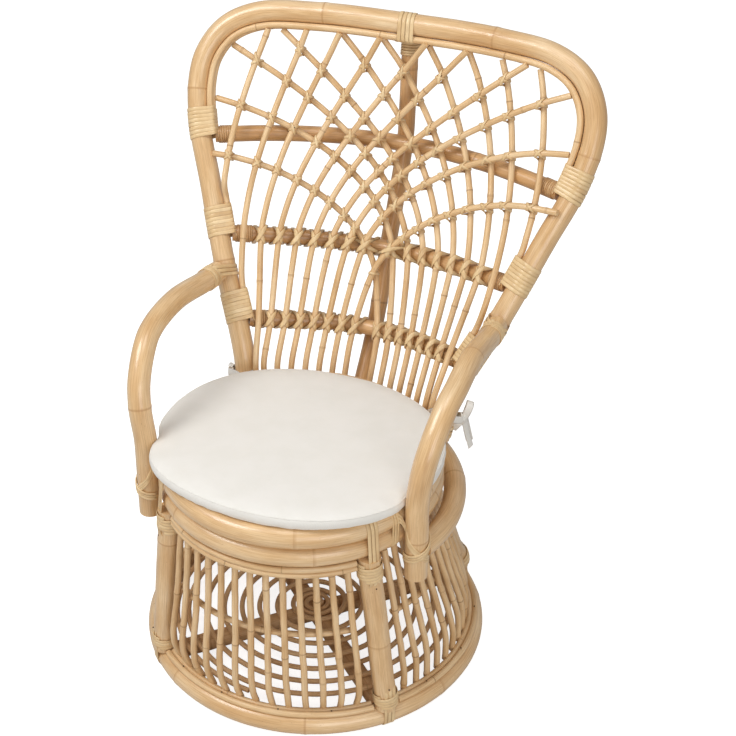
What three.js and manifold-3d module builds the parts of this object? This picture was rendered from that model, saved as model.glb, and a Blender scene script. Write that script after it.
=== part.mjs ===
// Peacock chair of bent rattan poles: a reclined hoop back filled with a fan of crossing rods, two bent
// arms, a round seat on a drum base of upright spokes, and a round cushion tied on at the back.
// Millimetres, +Z up, facing -Y. Everything is laid out from the centre of the base ring on the floor;
// the last step moves the whole chair so that its outline is centred over the origin.

import * as THREE from 'three';
import { mergeVertices } from 'three/addons/utils/BufferGeometryUtils.js';
import Module from 'manifold-3d';

const wasm = await Module();
wasm.setup();

// Stock: poles, rods and binding cane
const poleDiameter = 32;
const crossbarDiameter = 24;
const backPoleDiameter = 25;
const fanRodDiameter = 9.6;
const edgingDiameter = 9.6;
const spokeDiameter = 11.4;
const stripDiameter = 8.6;
const middleRodDiameter = 10;
const floorPoleDiameter = 28;
const floorRodDiameter = 8.6;
const seatRodDiameter = 14;
const caneWidth = 5.7;
const caneThickness = 1.2;
const canePitch = 7.2;
const clearance = 0.3;
const mergeShare = 1 / 300;

// Base and seat
const seatHeight = 357;
const seatRingRadius = 185;
const seatForward = 47;
const baseSpread = 53;
const outerHoopGap = 8.3;
const outerHoopSetback = 6;
const outerHoopDrop = 26.7;
const armAngle = 67.6;

// Drum wall between the posts
const postTopAngle = 50;
const postFootAngle = 46;
const frontPostReach = 8;
const rearPostReach = -5;
const postFootReach = 2;
const postSwell = 5;
const postSwellShare = 0.8;
const postEndLength = 16;
const spokesPerBay = 13;
const spokeTopGap = 6.1;
const spokeTopAngleMargin = 9;
const spokeFootInset = 12;
const spokeFootGap = 2.9;
const spokeFootAngleMargin = 9.5;
const bellyHeightShare = 0.224;
const bellyReach = 8;
const fusedDepth = 3;
const seatRodFusedDepth = 1.5;
const stripTopDrop = 4.5;
const stripTopAngleMargin = 5.9;
const stripFootRise = 2;
const stripFootAngleMargin = 4.7;
const middleRodShare = 0.55;
const middleRodCentreShare = 1 / 3;

// Reclined back, measured along its own slope from the height where the arms join it
const armJointRise = 127.3;
const backSetback = 10.7;
const reclineAngle = 26.8;
const hoopWidthShare = 1.4;
const hoopRise = 387;
const hoopTopBow = 22;
const hoopFootSpreadShare = 0.735;
const hoopFootRiseShare = 0.2125;
const rimBow = 12;
const fanBow = 57;
const fanTopBow = 24;
const fanBowTurnShare = 0.491;
const fanTopRiseShare = 0.933;

// Fan rods, counted from the outermost of each hand: their places at the seat, the lower crossbar and
// the middle crossbar are shares of the half width there
const fanRodsPerHand = 10;
const footInnerShare = 0.12;
const footOuterShare = 0.86;
const lowerPitchShare = 0.0995;
const middleOuterShare = 0.807;
const middleInnerShare = 0.087;
const tuckedRods = 2;
const tuckLength = 40;
const lastRodCrossingShare = 0.0594;
const layerTurnShares = [-0.1034, 0.0258];
const hoopLegRoomShare = 0.72;
const firstLean = -8;
const leanPitch = 3;

// Crossbars: height up the slope at the middle, fall to the ends
const topBarRiseShare = 0.558;
const topBarFallShare = 0.075;
const middleBarRiseShare = 0.155;
const middleBarFallShare = 0.0336;
const lowerBarRiseShare = -0.16;
const lowerBarFallShare = 0.0284;
const barEndGap = 10;

// Arms
const armRise = 28;
const armEndShare = 0.695;
const armJointDropShare = 0.875;
const armJointStandoffShare = 1.4375;

// Bindings
const bindingTurns = 6;
const bindingLift = 10;
const topBindingTurns = 4;
const armBindingTurns = 4;
const armFootBindingTurns = 2;
const hoopFootBindingTurns = 2.5;
const turnSteps = 8;

// Floor of the base
const floorCoilStartRadius = 6;
const floorCoilPitch = 10;
const floorCoilTurns = 3;
const floorSpiralInset = 41;
const floorSpiralTurns = 6;

// Cushion and its ties
const cushionOverhang = 6;
const cushionDepthShare = 0.905;
const cushionEdgeHeight = 25;
const cushionCrownHeight = 9;
const cushionForward = 6;
const cushionDent = 8;
const cushionDentSpread = 26;
const tieWidth = 11;
const tieThickness = 2.4;

// Facet counts
const poleSides = 8;
const ringSteps = 40;
const rodSides = 5;
const stripSides = 4;
const hoopSteps = 56;
const edgingSteps = 30;
const outerHoopSteps = 22;
const armSteps = 16;
const postSteps = 7;
const fanRodSteps = 12;
const sweepSteps = 10;
const crossbarSteps = 12;
const backPoleSteps = 14;
const spokeSteps = 4;
const stripSteps = 5;
const coilSteps = 12;
const spiralSteps = 12;
const cushionSteps = 28;
const tieSteps = 8;
const hoopSamples = 400;

const poleRadius = poleDiameter / 2;
const crossbarRadius = crossbarDiameter / 2;
const backPoleRadius = backPoleDiameter / 2;
const fanRodRadius = fanRodDiameter / 2;
const edgingRadius = edgingDiameter / 2;
const spokeRadius = spokeDiameter / 2;
const stripRadius = stripDiameter / 2;
const middleRodRadius = middleRodDiameter / 2;
const floorPoleRadius = floorPoleDiameter / 2;
const seatRodRadius = seatRodDiameter / 2;
const flatShare = Math.cos(Math.PI / poleSides);
const ringFlatShare = Math.cos(Math.PI / ringSteps);
const stripFlatShare = Math.cos(Math.PI / stripSides);
const radians = THREE.MathUtils.degToRad;
const degrees = THREE.MathUtils.radToDeg;
const quarterTurn = 90;
const halfTurn = 180;
const fullTurn = 360;

// Heights of the stacked rings, from the floor up
const baseRingHeight = poleRadius * flatShare;
const baseRingTop = baseRingHeight * 2;
const upperRingHeight = seatHeight - poleRadius * flatShare;
const lowerRingHeight = upperRingHeight - poleDiameter * flatShare - clearance;
const lowerRingUnderside = lowerRingHeight - poleRadius * flatShare;
const outerHoopHeight = lowerRingHeight - outerHoopDrop;
const outerHoopTop = outerHoopHeight + poleRadius;
const spokeTopHeight = lowerRingUnderside - spokeTopGap;
const spokeFootHeight = baseRingTop + spokeFootGap;

// Circles seen from above: the base ring and the outer hoop follow the seat ring
const baseRingRadius = seatRingRadius + baseSpread;
const outerHoopRadius = seatRingRadius + spokeRadius + outerHoopGap + poleRadius;
const outerHoopForward = seatForward - outerHoopSetback;
const ringOutside = seatRingRadius + poleRadius * flatShare;

// The back starts at the rear of the outer hoop, and its shares are of these sizes
const armJointHeight = seatHeight + armJointRise;
const armJointDepth = outerHoopRadius - outerHoopForward + backSetback;
const hoopHalfWidth = outerHoopRadius * hoopWidthShare;
const hoopFootSpread = outerHoopRadius * hoopFootSpreadShare;
const fanBowTurn = hoopRise * fanBowTurnShare;
const fanTopRise = hoopRise * fanTopRiseShare;
const topBarRise = hoopRise * topBarRiseShare;
const topBarFall = hoopRise * topBarFallShare;
const middleBarRise = hoopRise * middleBarRiseShare;
const middleBarFall = hoopRise * middleBarFallShare;
const lowerBarRise = hoopRise * lowerBarRiseShare;
const lowerBarFall = hoopRise * lowerBarFallShare;
const barEndInset = poleRadius + crossbarRadius + barEndGap;

const materials = {
  pole: new THREE.MeshStandardMaterial({ color: 0xd9b98c, roughness: 0.45, metalness: 0 }),
  rod: new THREE.MeshStandardMaterial({ color: 0xd8b27e, roughness: 0.55, metalness: 0 }),
  cane: new THREE.MeshStandardMaterial({ color: 0xdcbd8c, roughness: 0.5, metalness: 0 }),
  floor: new THREE.MeshStandardMaterial({ color: 0x9c7650, roughness: 0.65, metalness: 0 }),
  cotton: new THREE.MeshStandardMaterial({ color: 0xf2efe8, roughness: 0.9, metalness: 0 }),
};

// Points on the base and seat circles, by angle in degrees from the front towards +X
function basePoint(angle, radius, height) {
  const turn = radians(angle);
  return new THREE.Vector3(radius * Math.sin(turn), -radius * Math.cos(turn), height);
}

function seatPoint(angle, radius, height) {
  return basePoint(angle, radius, height).setY(-seatForward - radius * Math.cos(radians(angle)));
}

// A point of the reclined back: across, up the slope, and behind its plane
const slopeSin = Math.sin(radians(reclineAngle));
const slopeCos = Math.cos(radians(reclineAngle));

function backPoint(across, up, behind) {
  return new THREE.Vector3(
    across,
    armJointDepth + up * slopeSin + behind * slopeCos,
    armJointHeight + up * slopeCos - behind * slopeSin,
  );
}

// Solids
function sectionShape(radius, sides) {
  const shape = new THREE.Shape();
  for (let side = 0; side < sides; side += 1) {
    const turn = radians(((side + 0.5) / sides) * fullTurn);
    const x = radius * Math.cos(turn);
    const y = radius * Math.sin(turn);
    if (side === 0) shape.moveTo(x, y);
    else shape.lineTo(x, y);
  }
  shape.closePath();
  return shape;
}

function rodAlong(points, diameter, steps, sides) {
  const path = new THREE.CatmullRomCurve3(points, false, 'centripetal');
  return new THREE.ExtrudeGeometry(sectionShape(diameter / 2, sides), {
    steps,
    extrudePath: path,
    bevelEnabled: false,
  });
}

function ring(radius, diameter, height) {
  const profile = [];
  for (let side = 0; side <= poleSides; side += 1) {
    const turn = radians(((side + 0.5) / poleSides) * fullTurn);
    const x = radius + (diameter / 2) * Math.cos(turn);
    profile.push(new THREE.Vector2(x, (diameter / 2) * Math.sin(turn)));
  }
  profile[poleSides].copy(profile[0]);
  return new THREE.LatheGeometry(profile, ringSteps, Math.PI / ringSteps)
    .rotateX(Math.PI / 2)
    .translate(0, 0, height);
}

// A solid through a row of cross-sections, each a closed loop of the same number of points
function skinSections(sections) {
  const sides = sections[0].length;
  const positions = sections.flat().flatMap((point) => [point.x, point.y, point.z]);
  const index = [];
  const last = (sections.length - 1) * sides;
  for (let row = 0; row + 1 < sections.length; row += 1) {
    for (let side = 0; side < sides; side += 1) {
      const a = row * sides + side;
      const b = row * sides + ((side + 1) % sides);
      index.push(a, b, b + sides, a, b + sides, a + sides);
    }
  }
  for (let side = 1; side + 1 < sides; side += 1) {
    index.push(0, side + 1, side, last, last + side, last + side + 1);
  }
  const geometry = new THREE.BufferGeometry();
  geometry.setAttribute('position', new THREE.Float32BufferAttribute(positions, 3));
  geometry.setIndex(index);
  return geometry;
}

function toManifold(geometry) {
  const bare = geometry.clone();
  bare.deleteAttribute('normal');
  bare.deleteAttribute('uv');
  const merged = mergeVertices(bare, clearance * mergeShare);
  return new wasm.Manifold(new wasm.Mesh({
    numProp: merged.attributes.position.itemSize,
    vertProperties: new Float32Array(merged.attributes.position.array),
    triVerts: new Uint32Array(merged.index.array),
  }));
}

function fromManifold(solid) {
  const mesh = solid.getMesh();
  const geometry = new THREE.BufferGeometry();
  geometry.setAttribute('position', new THREE.BufferAttribute(mesh.vertProperties, 3));
  geometry.setIndex(new THREE.BufferAttribute(mesh.triVerts, 1));
  return geometry;
}

function fuse(geometries) {
  const solids = geometries.map(toManifold);
  return fromManifold(solids.reduce((joined, solid) => joined.add(solid)));
}

const chair = new THREE.Group();

function addPiece(name, geometry, material) {
  const mesh = new THREE.Mesh(geometry, material);
  mesh.name = name;
  chair.add(mesh);
  return mesh;
}

// Hoop of the back: the right half of its outline as shares of half width and rise, foot to crown
const hoopOutlineShares = [
  [0.551, -0.31], [0.718, 0], [0.86, 0.3], [0.963, 0.515], [1, 0.68],
  [0.982, 0.79], [0.9, 0.895], [0.75, 0.962], [0.45, 0.993],
];

function hoopBow(across, up) {
  const reach = 1 - (across / hoopHalfWidth) ** 2;
  return hoopTopBow * reach * THREE.MathUtils.smoothstep(up, hoopRise / 2, hoopRise);
}

function outerHoopPoint(across, height) {
  const depth = Math.sqrt(outerHoopRadius ** 2 - across ** 2) - outerHoopForward;
  return new THREE.Vector3(across, depth, height);
}

function hoopHalf(hand) {
  const foot = outerHoopPoint(hand * hoopFootSpread, outerHoopTop + poleRadius * hoopFootRiseShare);
  const climb = hoopOutlineShares.map(([widthShare, riseShare]) => {
    const across = widthShare * hoopHalfWidth;
    const up = riseShare * hoopRise;
    return backPoint(hand * across, up, hoopBow(across, up));
  });
  return [foot, ...climb];
}

const hoopPoints = [
  ...hoopHalf(-1),
  backPoint(0, hoopRise, hoopTopBow),
  ...hoopHalf(1).reverse(),
];
const hoopCurve = new THREE.CatmullRomCurve3(hoopPoints, false, 'centripetal');

// Where a point lies on the back: across, up and behind
function backPlace(point) {
  const depth = point.y - armJointDepth;
  const height = point.z - armJointHeight;
  return {
    across: point.x,
    up: depth * slopeSin + height * slopeCos,
    behind: depth * slopeCos - height * slopeSin,
  };
}

const hoopPlaces = hoopCurve.getPoints(hoopSamples).map(backPlace);
const rightPlaces = hoopPlaces.filter((place) => place.across > 0).reverse();

// Half width of the hoop at a height up the slope; above its widest place it stays the widest
function hoopHalfAt(up) {
  let widest = rightPlaces[0];
  for (const place of rightPlaces) {
    if (place.up >= up) {
      const share = (up - widest.up) / Math.max(place.up - widest.up, clearance);
      return THREE.MathUtils.lerp(widest.across, place.across, THREE.MathUtils.clamp(share, 0, 1));
    }
    if (place.across < widest.across) return widest.across;
    widest = place;
  }
  return widest.across;
}

addPiece('back_hoop', new THREE.ExtrudeGeometry(sectionShape(poleRadius, poleSides), {
  steps: hoopSteps, extrudePath: hoopCurve, bevelEnabled: false,
}), materials.pole);

// Two edging rods lie side by side inside the hoop, from one upper binding over the top to the other
const edgingInset = poleRadius + clearance + edgingRadius;
const edgingOffset = edgingRadius + clearance / 2;

function insideHoop(share, inset, behind) {
  const centre = hoopCurve.getPointAt(share);
  const along = hoopCurve.getTangentAt(share);
  const back = new THREE.Vector3(0, slopeCos, -slopeSin);
  const inward = new THREE.Vector3().crossVectors(back, along).normalize();
  return centre.addScaledVector(inward, inset).addScaledVector(back, behind);
}

// The share of the hoop's length at which one of its sides passes a height up the slope
function hoopShareAt(up, hand) {
  let best = 0;
  let least = Infinity;
  for (let step = 0; step <= hoopSamples; step += 1) {
    const share = step / hoopSamples / 2;
    const gap = Math.abs(backPlace(hoopCurve.getPointAt(share)).up - up);
    if (gap < least) {
      least = gap;
      best = share;
    }
  }
  return hand < 0 ? best : 1 - best;
}

const edgingStart = hoopShareAt(topBarRise - topBarFall, -1);
for (const [name, behind] of [['front', -edgingOffset], ['rear', edgingOffset]]) {
  const points = [];
  for (let step = 0; step <= edgingSteps; step += 1) {
    const share = THREE.MathUtils.lerp(edgingStart, 1 - edgingStart, step / edgingSteps);
    points.push(insideHoop(share, edgingInset, behind));
  }
  addPiece(`edging_rod_${name}`, rodAlong(points, edgingDiameter, edgingSteps, rodSides), materials.rod);
}

// The fan bows back between the sides of the hoop and flattens towards its top
const fanBowPower = 1.5;

function fanBehind(across, up) {
  const reach = THREE.MathUtils.clamp(Math.abs(across) / (hoopHalfAt(up) - poleRadius), 0, 1);
  const fade = Math.max(up - fanBowTurn, 0) / (fanTopRise - fanBowTurn);
  const crown = THREE.MathUtils.lerp(fanBow, fanTopBow, Math.min(fade ** 2, 1));
  const rim = -rimBow * (1 - THREE.MathUtils.smoothstep(up, fanBowTurn, fanTopRise));
  return rim + (crown - rim) * (1 - reach ** 2) ** fanBowPower;
}

// A point on the fan, moved square to its surface by a layer distance
function fanPoint(across, up, layer) {
  const probe = poleRadius / 4;
  const centre = backPoint(across, up, fanBehind(across, up));
  const beside = backPoint(across + probe, up, fanBehind(across + probe, up));
  const above = backPoint(across, up + probe, fanBehind(across, up + probe));
  const outward = new THREE.Vector3().crossVectors(above.sub(centre), beside.sub(centre)).normalize();
  return centre.addScaledVector(outward, layer);
}

// Degrees that each rod leans towards the other side where it reaches the hoop, outermost rod first
const endLeans = [16, 19, 26, 31, 40, 44, 53, 68, 86, 93];
// Where each rod ends, as a share of the hoop's length from the far foot to the near foot
const endShares = [0.625, 0.588, 0.558, 0.522, 0.482, 0.445, 0.39, 0.328, 0.266, 0.215];
const bendStartShare = 0.3;
const bendEndShare = 0.37;

function lean(angle) {
  return new THREE.Vector2(-Math.sin(radians(angle)), Math.cos(radians(angle)));
}

// The end of a rod stays clear of what it butts, however slantwise it arrives
function endInset(rod) {
  const along = hoopCurve.getTangentAt(endShares[rod]);
  const rise = along.y * slopeSin + along.z * slopeCos;
  const slant = Math.abs(new THREE.Vector2(along.x, rise).dot(lean(endLeans[rod])));
  const edging = rod < fanRodsPerHand - 1 ? edgingInset + edgingRadius : poleRadius;
  return edging + clearance + fanRodRadius * slant;
}

// The sweep of a right-hand rod over the lattice, as points across and up the slope
function fanSweep(rod, start) {
  const end = backPlace(insideHoop(endShares[rod], endInset(rod), 0));
  const from = new THREE.Vector2(start.across, start.up);
  const to = new THREE.Vector2(end.across, end.up);
  const chord = from.distanceTo(to);
  const bend = new THREE.CubicBezierCurve(
    from,
    from.clone().addScaledVector(lean(firstLean + leanPitch * rod), chord * bendStartShare),
    to.clone().addScaledVector(lean(endLeans[rod]), -chord * bendEndShare),
    to,
  );
  return bend.getPoints(sweepSteps);
}

// Rods of the right hand lie in the rear layer; those of the left hand turn forward and cross in front
const rearLayer = fanRodRadius + clearance * 1.5;

function layerAt(up, hand) {
  if (hand > 0) return rearLayer;
  const [low, high] = layerTurnShares;
  return rearLayer * (1 - 2 * THREE.MathUtils.smoothstep(up, hoopRise * low, hoopRise * high));
}

// The two outermost rods start inside a side binding
function tuckedStart(rod, hand) {
  const low = rod === 0 ? middleBarRise - middleBarFall : lowerBarRise - lowerBarFall;
  return [low, low + tuckLength].map((up) => insideHoop(hoopShareAt(up, hand), edgingInset, 0));
}

// The others stand on the outer seat hoop and pass in front of the lower crossbar
function standingStart(rod, hand) {
  const number = fanRodsPerHand - 1 - rod;
  const footShare = number / (fanRodsPerHand - 1 - tuckedRods);
  const footAcross = hoopFootSpread * THREE.MathUtils.lerp(footInnerShare, footOuterShare, footShare);
  const up = lowerBarRise - lowerBarFall;
  const widest = hoopHalfAt(up) - barEndInset;
  const across = Math.min(hoopHalfAt(up) * lowerPitchShare * (number + 1), widest);
  const between = Math.min((footAcross + across) / 2, hoopHalfAt(up * 2) - poleDiameter * hoopLegRoomShare);
  return [
    outerHoopPoint(hand * footAcross, outerHoopTop + fanRodRadius / 2),
    fanPoint(hand * between, up * 2, rearLayer),
    fanPoint(hand * across, up, rearLayer),
  ];
}

function sweepStart(rod) {
  if (rod === 0) {
    return backPlace(tuckedStart(0, 1)[1]);
  }
  if (rod === fanRodsPerHand - 1) return { across: 0, up: hoopRise * lastRodCrossingShare };
  const share = (rod - 1) / (fanRodsPerHand - 1 - tuckedRods);
  const acrossShare = THREE.MathUtils.lerp(middleOuterShare, middleInnerShare, share);
  return { across: hoopHalfAt(middleBarRise) * acrossShare, up: middleBarRise };
}

function fanRod(rod, hand) {
  const points = rod < tuckedRods ? tuckedStart(rod, hand) : standingStart(rod, hand);
  const sweep = fanSweep(rod, sweepStart(rod));
  if (rod === 0) sweep.shift();
  const end = sweep.pop();
  for (const place of sweep) points.push(fanPoint(hand * place.x, place.y, layerAt(place.y, hand)));
  const hold = hand > 0 ? rearLayer : -rearLayer;
  if (rod < fanRodsPerHand - 1) points.push(backPoint(hand * end.x, end.y, hoopBow(end.x, end.y) + hold));
  else points.push(fanPoint(hand * end.x, end.y, hold));
  return points;
}

for (const [side, hand] of [['left', -1], ['right', 1]]) {
  for (let rod = 0; rod < fanRodsPerHand; rod += 1) {
    const geometry = rodAlong(fanRod(rod, hand), fanRodDiameter, fanRodSteps, rodSides);
    addPiece(`fan_rod_${side}_${rod}`, geometry, materials.rod);
  }
}

// Crossbars bow behind the fan and the back pole stands behind the crossbars
const barLayer = rearLayer + fanRodRadius + clearance * 2 + crossbarRadius;
const poleLayer = barLayer + crossbarRadius + clearance + backPoleRadius;

function crossbar(rise, fall) {
  const half = hoopHalfAt(rise - fall) - barEndInset;
  const points = [];
  for (let step = 0; step <= crossbarSteps; step += 1) {
    const share = (2 * step) / crossbarSteps - 1;
    points.push(fanPoint(share * half, rise - fall * share ** 2, barLayer));
  }
  return rodAlong(points, crossbarDiameter, crossbarSteps, poleSides);
}

addPiece('crossbar_top', crossbar(topBarRise, topBarFall), materials.pole);
addPiece('crossbar_middle', crossbar(middleBarRise, middleBarFall), materials.pole);
addPiece('crossbar_lower', crossbar(lowerBarRise, lowerBarFall), materials.pole);

// The upper run of the back pole, as shares of the hoop's rise and of its bow at the top
const poleTopShares = [[0.727, 3.8], [0.874, 2.73], [0.965, 2.3]];

function backPole() {
  const low = fanPoint(0, lowerBarRise, poleLayer);
  const seat = outerHoopPoint(0, outerHoopHeight);
  const foot = seat.clone().lerp(low, (poleRadius + clearance) / seat.distanceTo(low));
  const points = [foot, low, fanPoint(0, middleBarRise, poleLayer), fanPoint(0, topBarRise, poleLayer)];
  for (const [riseShare, bowShare] of poleTopShares) {
    points.push(backPoint(0, hoopRise * riseShare, hoopTopBow * bowShare));
  }
  return rodAlong(points, backPoleDiameter, backPoleSteps, poleSides);
}

addPiece('back_pole', backPole(), materials.pole);

// Seat: two stacked rings, an open hoop round their sides and rear, and rods across the opening
addPiece('seat_ring_upper', ring(seatRingRadius, poleDiameter, upperRingHeight)
  .translate(0, -seatForward, 0), materials.pole);
addPiece('seat_ring_lower', ring(seatRingRadius, poleDiameter, lowerRingHeight)
  .translate(0, -seatForward, 0), materials.pole);

function outerHoopAt(angle) {
  const turn = radians(angle);
  const depth = -outerHoopForward - outerHoopRadius * Math.cos(turn);
  return new THREE.Vector3(outerHoopRadius * Math.sin(turn), depth, outerHoopHeight);
}

const armEndHeight = seatHeight * armEndShare;
const armFoot = seatPoint(armAngle, ringOutside + poleRadius + clearance, armEndHeight);
const armTurn = Math.atan2(armFoot.x, -armFoot.y - outerHoopForward);
const armButt = poleRadius * flatShare + clearance * 1.5;
const outerHoopStart = degrees(armTurn + armButt / outerHoopRadius);

function outerHoop() {
  const points = [];
  for (let step = 0; step <= outerHoopSteps; step += 1) {
    const share = step / outerHoopSteps;
    points.push(outerHoopAt(THREE.MathUtils.lerp(outerHoopStart, fullTurn - outerHoopStart, share)));
  }
  return rodAlong(points, poleDiameter, outerHoopSteps, poleSides);
}

addPiece('seat_hoop_outer', outerHoop(), materials.pole);

const seatRodCount = 7;
const seatRodSides = 6;
const seatRodFlatShare = Math.cos(Math.PI / seatRodSides);
const underRodPlaceShare = 1.5;

function seatRod(offset, height, turned) {
  const room = (seatRingRadius - poleRadius * flatShare) * ringFlatShare - clearance;
  const half = Math.sqrt(room ** 2 - (Math.abs(offset) + seatRodRadius) ** 2);
  const ends = [-half, half].map((reach) => new THREE.Vector3(
    turned ? offset : reach,
    (turned ? reach : offset) - seatForward,
    height,
  ));
  return rodAlong(ends, seatRodDiameter, 1, seatRodSides);
}

function seatGrid() {
  const pitch = (seatRingRadius * 2 - poleDiameter) / (seatRodCount + 1);
  const height = upperRingHeight - seatRodRadius / 2;
  const rods = [];
  for (let count = 0; count < seatRodCount; count += 1) {
    rods.push(seatRod(pitch * (count - (seatRodCount - 1) / 2), height, false));
  }
  const under = height - seatRodDiameter * seatRodFlatShare + seatRodFusedDepth;
  const place = pitch * underRodPlaceShare;
  rods.push(seatRod(-place, under, true), seatRod(place, under, true));
  return fuse(rods);
}

addPiece('seat_grid', seatGrid(), materials.rod);

// Arms: outline as shares of the foot's distance across, of the way from the joint forward to the
// foot, and of the height from the cut end to the top
const armOutlineShares = [
  [1.0905, 0.219, 0.909], [1.1005, 0.522, 0.9845], [1.106, 0.738, 0.966], [1.0905, 0.836, 0.924],
  [1.0562, 0.954, 0.784], [1.0264, 0.997, 0.648],
];
const armTop = armJointHeight + armRise;

function armPath(hand) {
  const drop = poleRadius * armJointDropShare;
  const butt = backPoint(hand * hoopHalfAt(0), -drop, -poleRadius * armJointStandoffShare);
  const run = armOutlineShares.map(([spreadShare, reachShare, riseShare]) => new THREE.Vector3(
    hand * spreadShare * armFoot.x,
    THREE.MathUtils.lerp(armJointDepth, armFoot.y, reachShare),
    THREE.MathUtils.lerp(armEndHeight, armTop, riseShare),
  ));
  const heights = [seatHeight + poleRadius, seatHeight - poleDiameter, armEndHeight];
  const leg = heights.map((height) => new THREE.Vector3(hand * armFoot.x, armFoot.y, height));
  return [butt, ...run, ...leg];
}

for (const [side, hand] of [['left', -1], ['right', 1]]) {
  addPiece(`arm_${side}`, rodAlong(armPath(hand), poleDiameter, armSteps, poleSides), materials.pole);
}

// Base: a ring on the floor and four posts up to the lower seat ring
addPiece('base_ring', ring(baseRingRadius, poleDiameter, baseRingHeight), materials.pole);

function post(topAngle, footAngle, topReach) {
  const top = seatPoint(topAngle, seatRingRadius + topReach, lowerRingUnderside - clearance * 2);
  const foot = basePoint(footAngle, baseRingRadius + postFootReach, baseRingTop + clearance * 2);
  const swell = top.clone().lerp(foot, postSwellShare);
  swell.add(basePoint(footAngle, postSwell, 0));
  const points = [
    top,
    top.clone().setZ(top.z - postEndLength),
    top.clone().lerp(foot, postSwellShare / 2),
    swell,
    foot.clone().setZ(foot.z + postEndLength),
    foot,
  ];
  return rodAlong(points, poleDiameter, postSteps, poleSides);
}

const postAngles = {
  front_right: [postTopAngle, postFootAngle, frontPostReach],
  rear_right: [halfTurn - postTopAngle, halfTurn - postFootAngle, rearPostReach],
  rear_left: [halfTurn + postTopAngle, halfTurn + postFootAngle, rearPostReach],
  front_left: [-postTopAngle, -postFootAngle, frontPostReach],
};
for (const [place, angles] of Object.entries(postAngles)) {
  addPiece(`post_${place}`, post(...angles), materials.pole);
}

// Each bay between two posts holds spokes, strips along their ends and a bent rod behind their middle
function strip(pointAt, half, centre, radius, height) {
  const points = [];
  for (let step = 0; step <= stripSteps; step += 1) {
    const angle = THREE.MathUtils.lerp(centre - half, centre + half, step / stripSteps);
    points.push(pointAt(angle, radius, height));
  }
  return rodAlong(points, stripDiameter, stripSteps, stripSides);
}

function spokePath(share, centre, topHalf, footHalf) {
  const topAngle = THREE.MathUtils.lerp(centre - topHalf, centre + topHalf, share);
  const footAngle = THREE.MathUtils.lerp(centre - footHalf, centre + footHalf, share);
  const top = seatPoint(topAngle, seatRingRadius, spokeTopHeight);
  const belly = basePoint(footAngle, baseRingRadius + bellyReach, seatHeight * bellyHeightShare);
  const foot = basePoint(footAngle, baseRingRadius - spokeFootInset, spokeFootHeight);
  return [top, top.clone().lerp(belly, middleRodShare), belly, foot];
}

// The spokes of a bay, and the rod that runs behind them
function spokesOf(centre, topHalf, footHalf) {
  const solids = [];
  const middle = [];
  const hub = new THREE.Vector3(0, -seatForward * middleRodCentreShare, 0);
  for (let count = 0; count < spokesPerBay; count += 1) {
    const share = count / (spokesPerBay - 1);
    const path = spokePath(share, centre, topHalf - spokeTopAngleMargin, footHalf - spokeFootAngleMargin);
    solids.push(rodAlong(path, spokeDiameter, spokeSteps, stripSides));
    const inward = hub.clone().sub(path[1]).setZ(0).normalize();
    middle.push(path[1].clone().addScaledVector(inward, spokeRadius + middleRodRadius - fusedDepth));
  }
  solids.push(rodAlong(middle, middleRodDiameter, spokesPerBay - 1, stripSides));
  return solids;
}

// Strips along the tops of the spokes, two outside them in front and one inside them elsewhere, and two
// along their feet
function stripsOf(centre, topHalf, footHalf, side) {
  const hold = spokeRadius + stripRadius - fusedDepth;
  const next = stripDiameter - fusedDepth;
  const topRadius = seatRingRadius + side * hold;
  const topHeight = spokeTopHeight - stripTopDrop;
  const footRadius = baseRingRadius - spokeFootInset + hold;
  const footHeight = spokeFootHeight + stripFootRise;
  const topSpan = topHalf - stripTopAngleMargin;
  const footSpan = footHalf - stripFootAngleMargin;
  const strips = [
    strip(seatPoint, topSpan, centre, topRadius, topHeight),
    strip(basePoint, footSpan, centre, footRadius, footHeight),
    strip(basePoint, footSpan, centre, footRadius + next, footHeight),
  ];
  if (side > 0) strips.push(strip(seatPoint, topSpan, centre, topRadius + fusedDepth, topHeight - next));
  return strips;
}

const wide = [postTopAngle, postFootAngle];
const narrow = [quarterTurn - postTopAngle, quarterTurn - postFootAngle];
const bays = {
  front: [0, ...wide, 1],
  right: [quarterTurn, ...narrow, -1],
  rear: [halfTurn, ...wide, -1],
  left: [-quarterTurn, ...narrow, -1],
};
for (const [place, [centre, topHalf, footHalf, side]] of Object.entries(bays)) {
  const solids = [...spokesOf(centre, topHalf, footHalf), ...stripsOf(centre, topHalf, footHalf, side)];
  addPiece(`base_panel_${place}`, fuse(solids), materials.rod);
}

// Floor of the base: two crossed poles that reach the ring, and a rod coiled over them
function floorCross() {
  const room = (baseRingRadius - poleRadius * flatShare) * ringFlatShare - clearance;
  const reach = Math.sqrt(room ** 2 - floorPoleRadius ** 2);
  const poles = [postFootAngle, -postFootAngle].map((angle) => rodAlong([
    basePoint(angle, reach, poleRadius),
    basePoint(angle + halfTurn, reach, poleRadius),
  ], floorPoleDiameter, 1, poleSides));
  return fuse(poles);
}

addPiece('floor_cross', floorCross(), materials.floor);

// A close coil in the middle, then an open spiral, as [angle, radius] in whole steps of each
function spiralPlaces() {
  const coilRadius = floorCoilStartRadius + floorCoilPitch * floorCoilTurns;
  const spiralPitch = (baseRingRadius - floorSpiralInset - coilRadius) / floorSpiralTurns;
  const places = [];
  for (let step = 0; step < floorCoilTurns * coilSteps; step += 1) {
    const turns = step / coilSteps;
    places.push([turns * fullTurn, floorCoilStartRadius + floorCoilPitch * turns]);
  }
  for (let step = 0; step <= floorSpiralTurns * spiralSteps; step += 1) {
    const turns = step / spiralSteps;
    places.push([(floorCoilTurns + turns) * fullTurn, coilRadius + spiralPitch * turns]);
  }
  return places;
}

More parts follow.
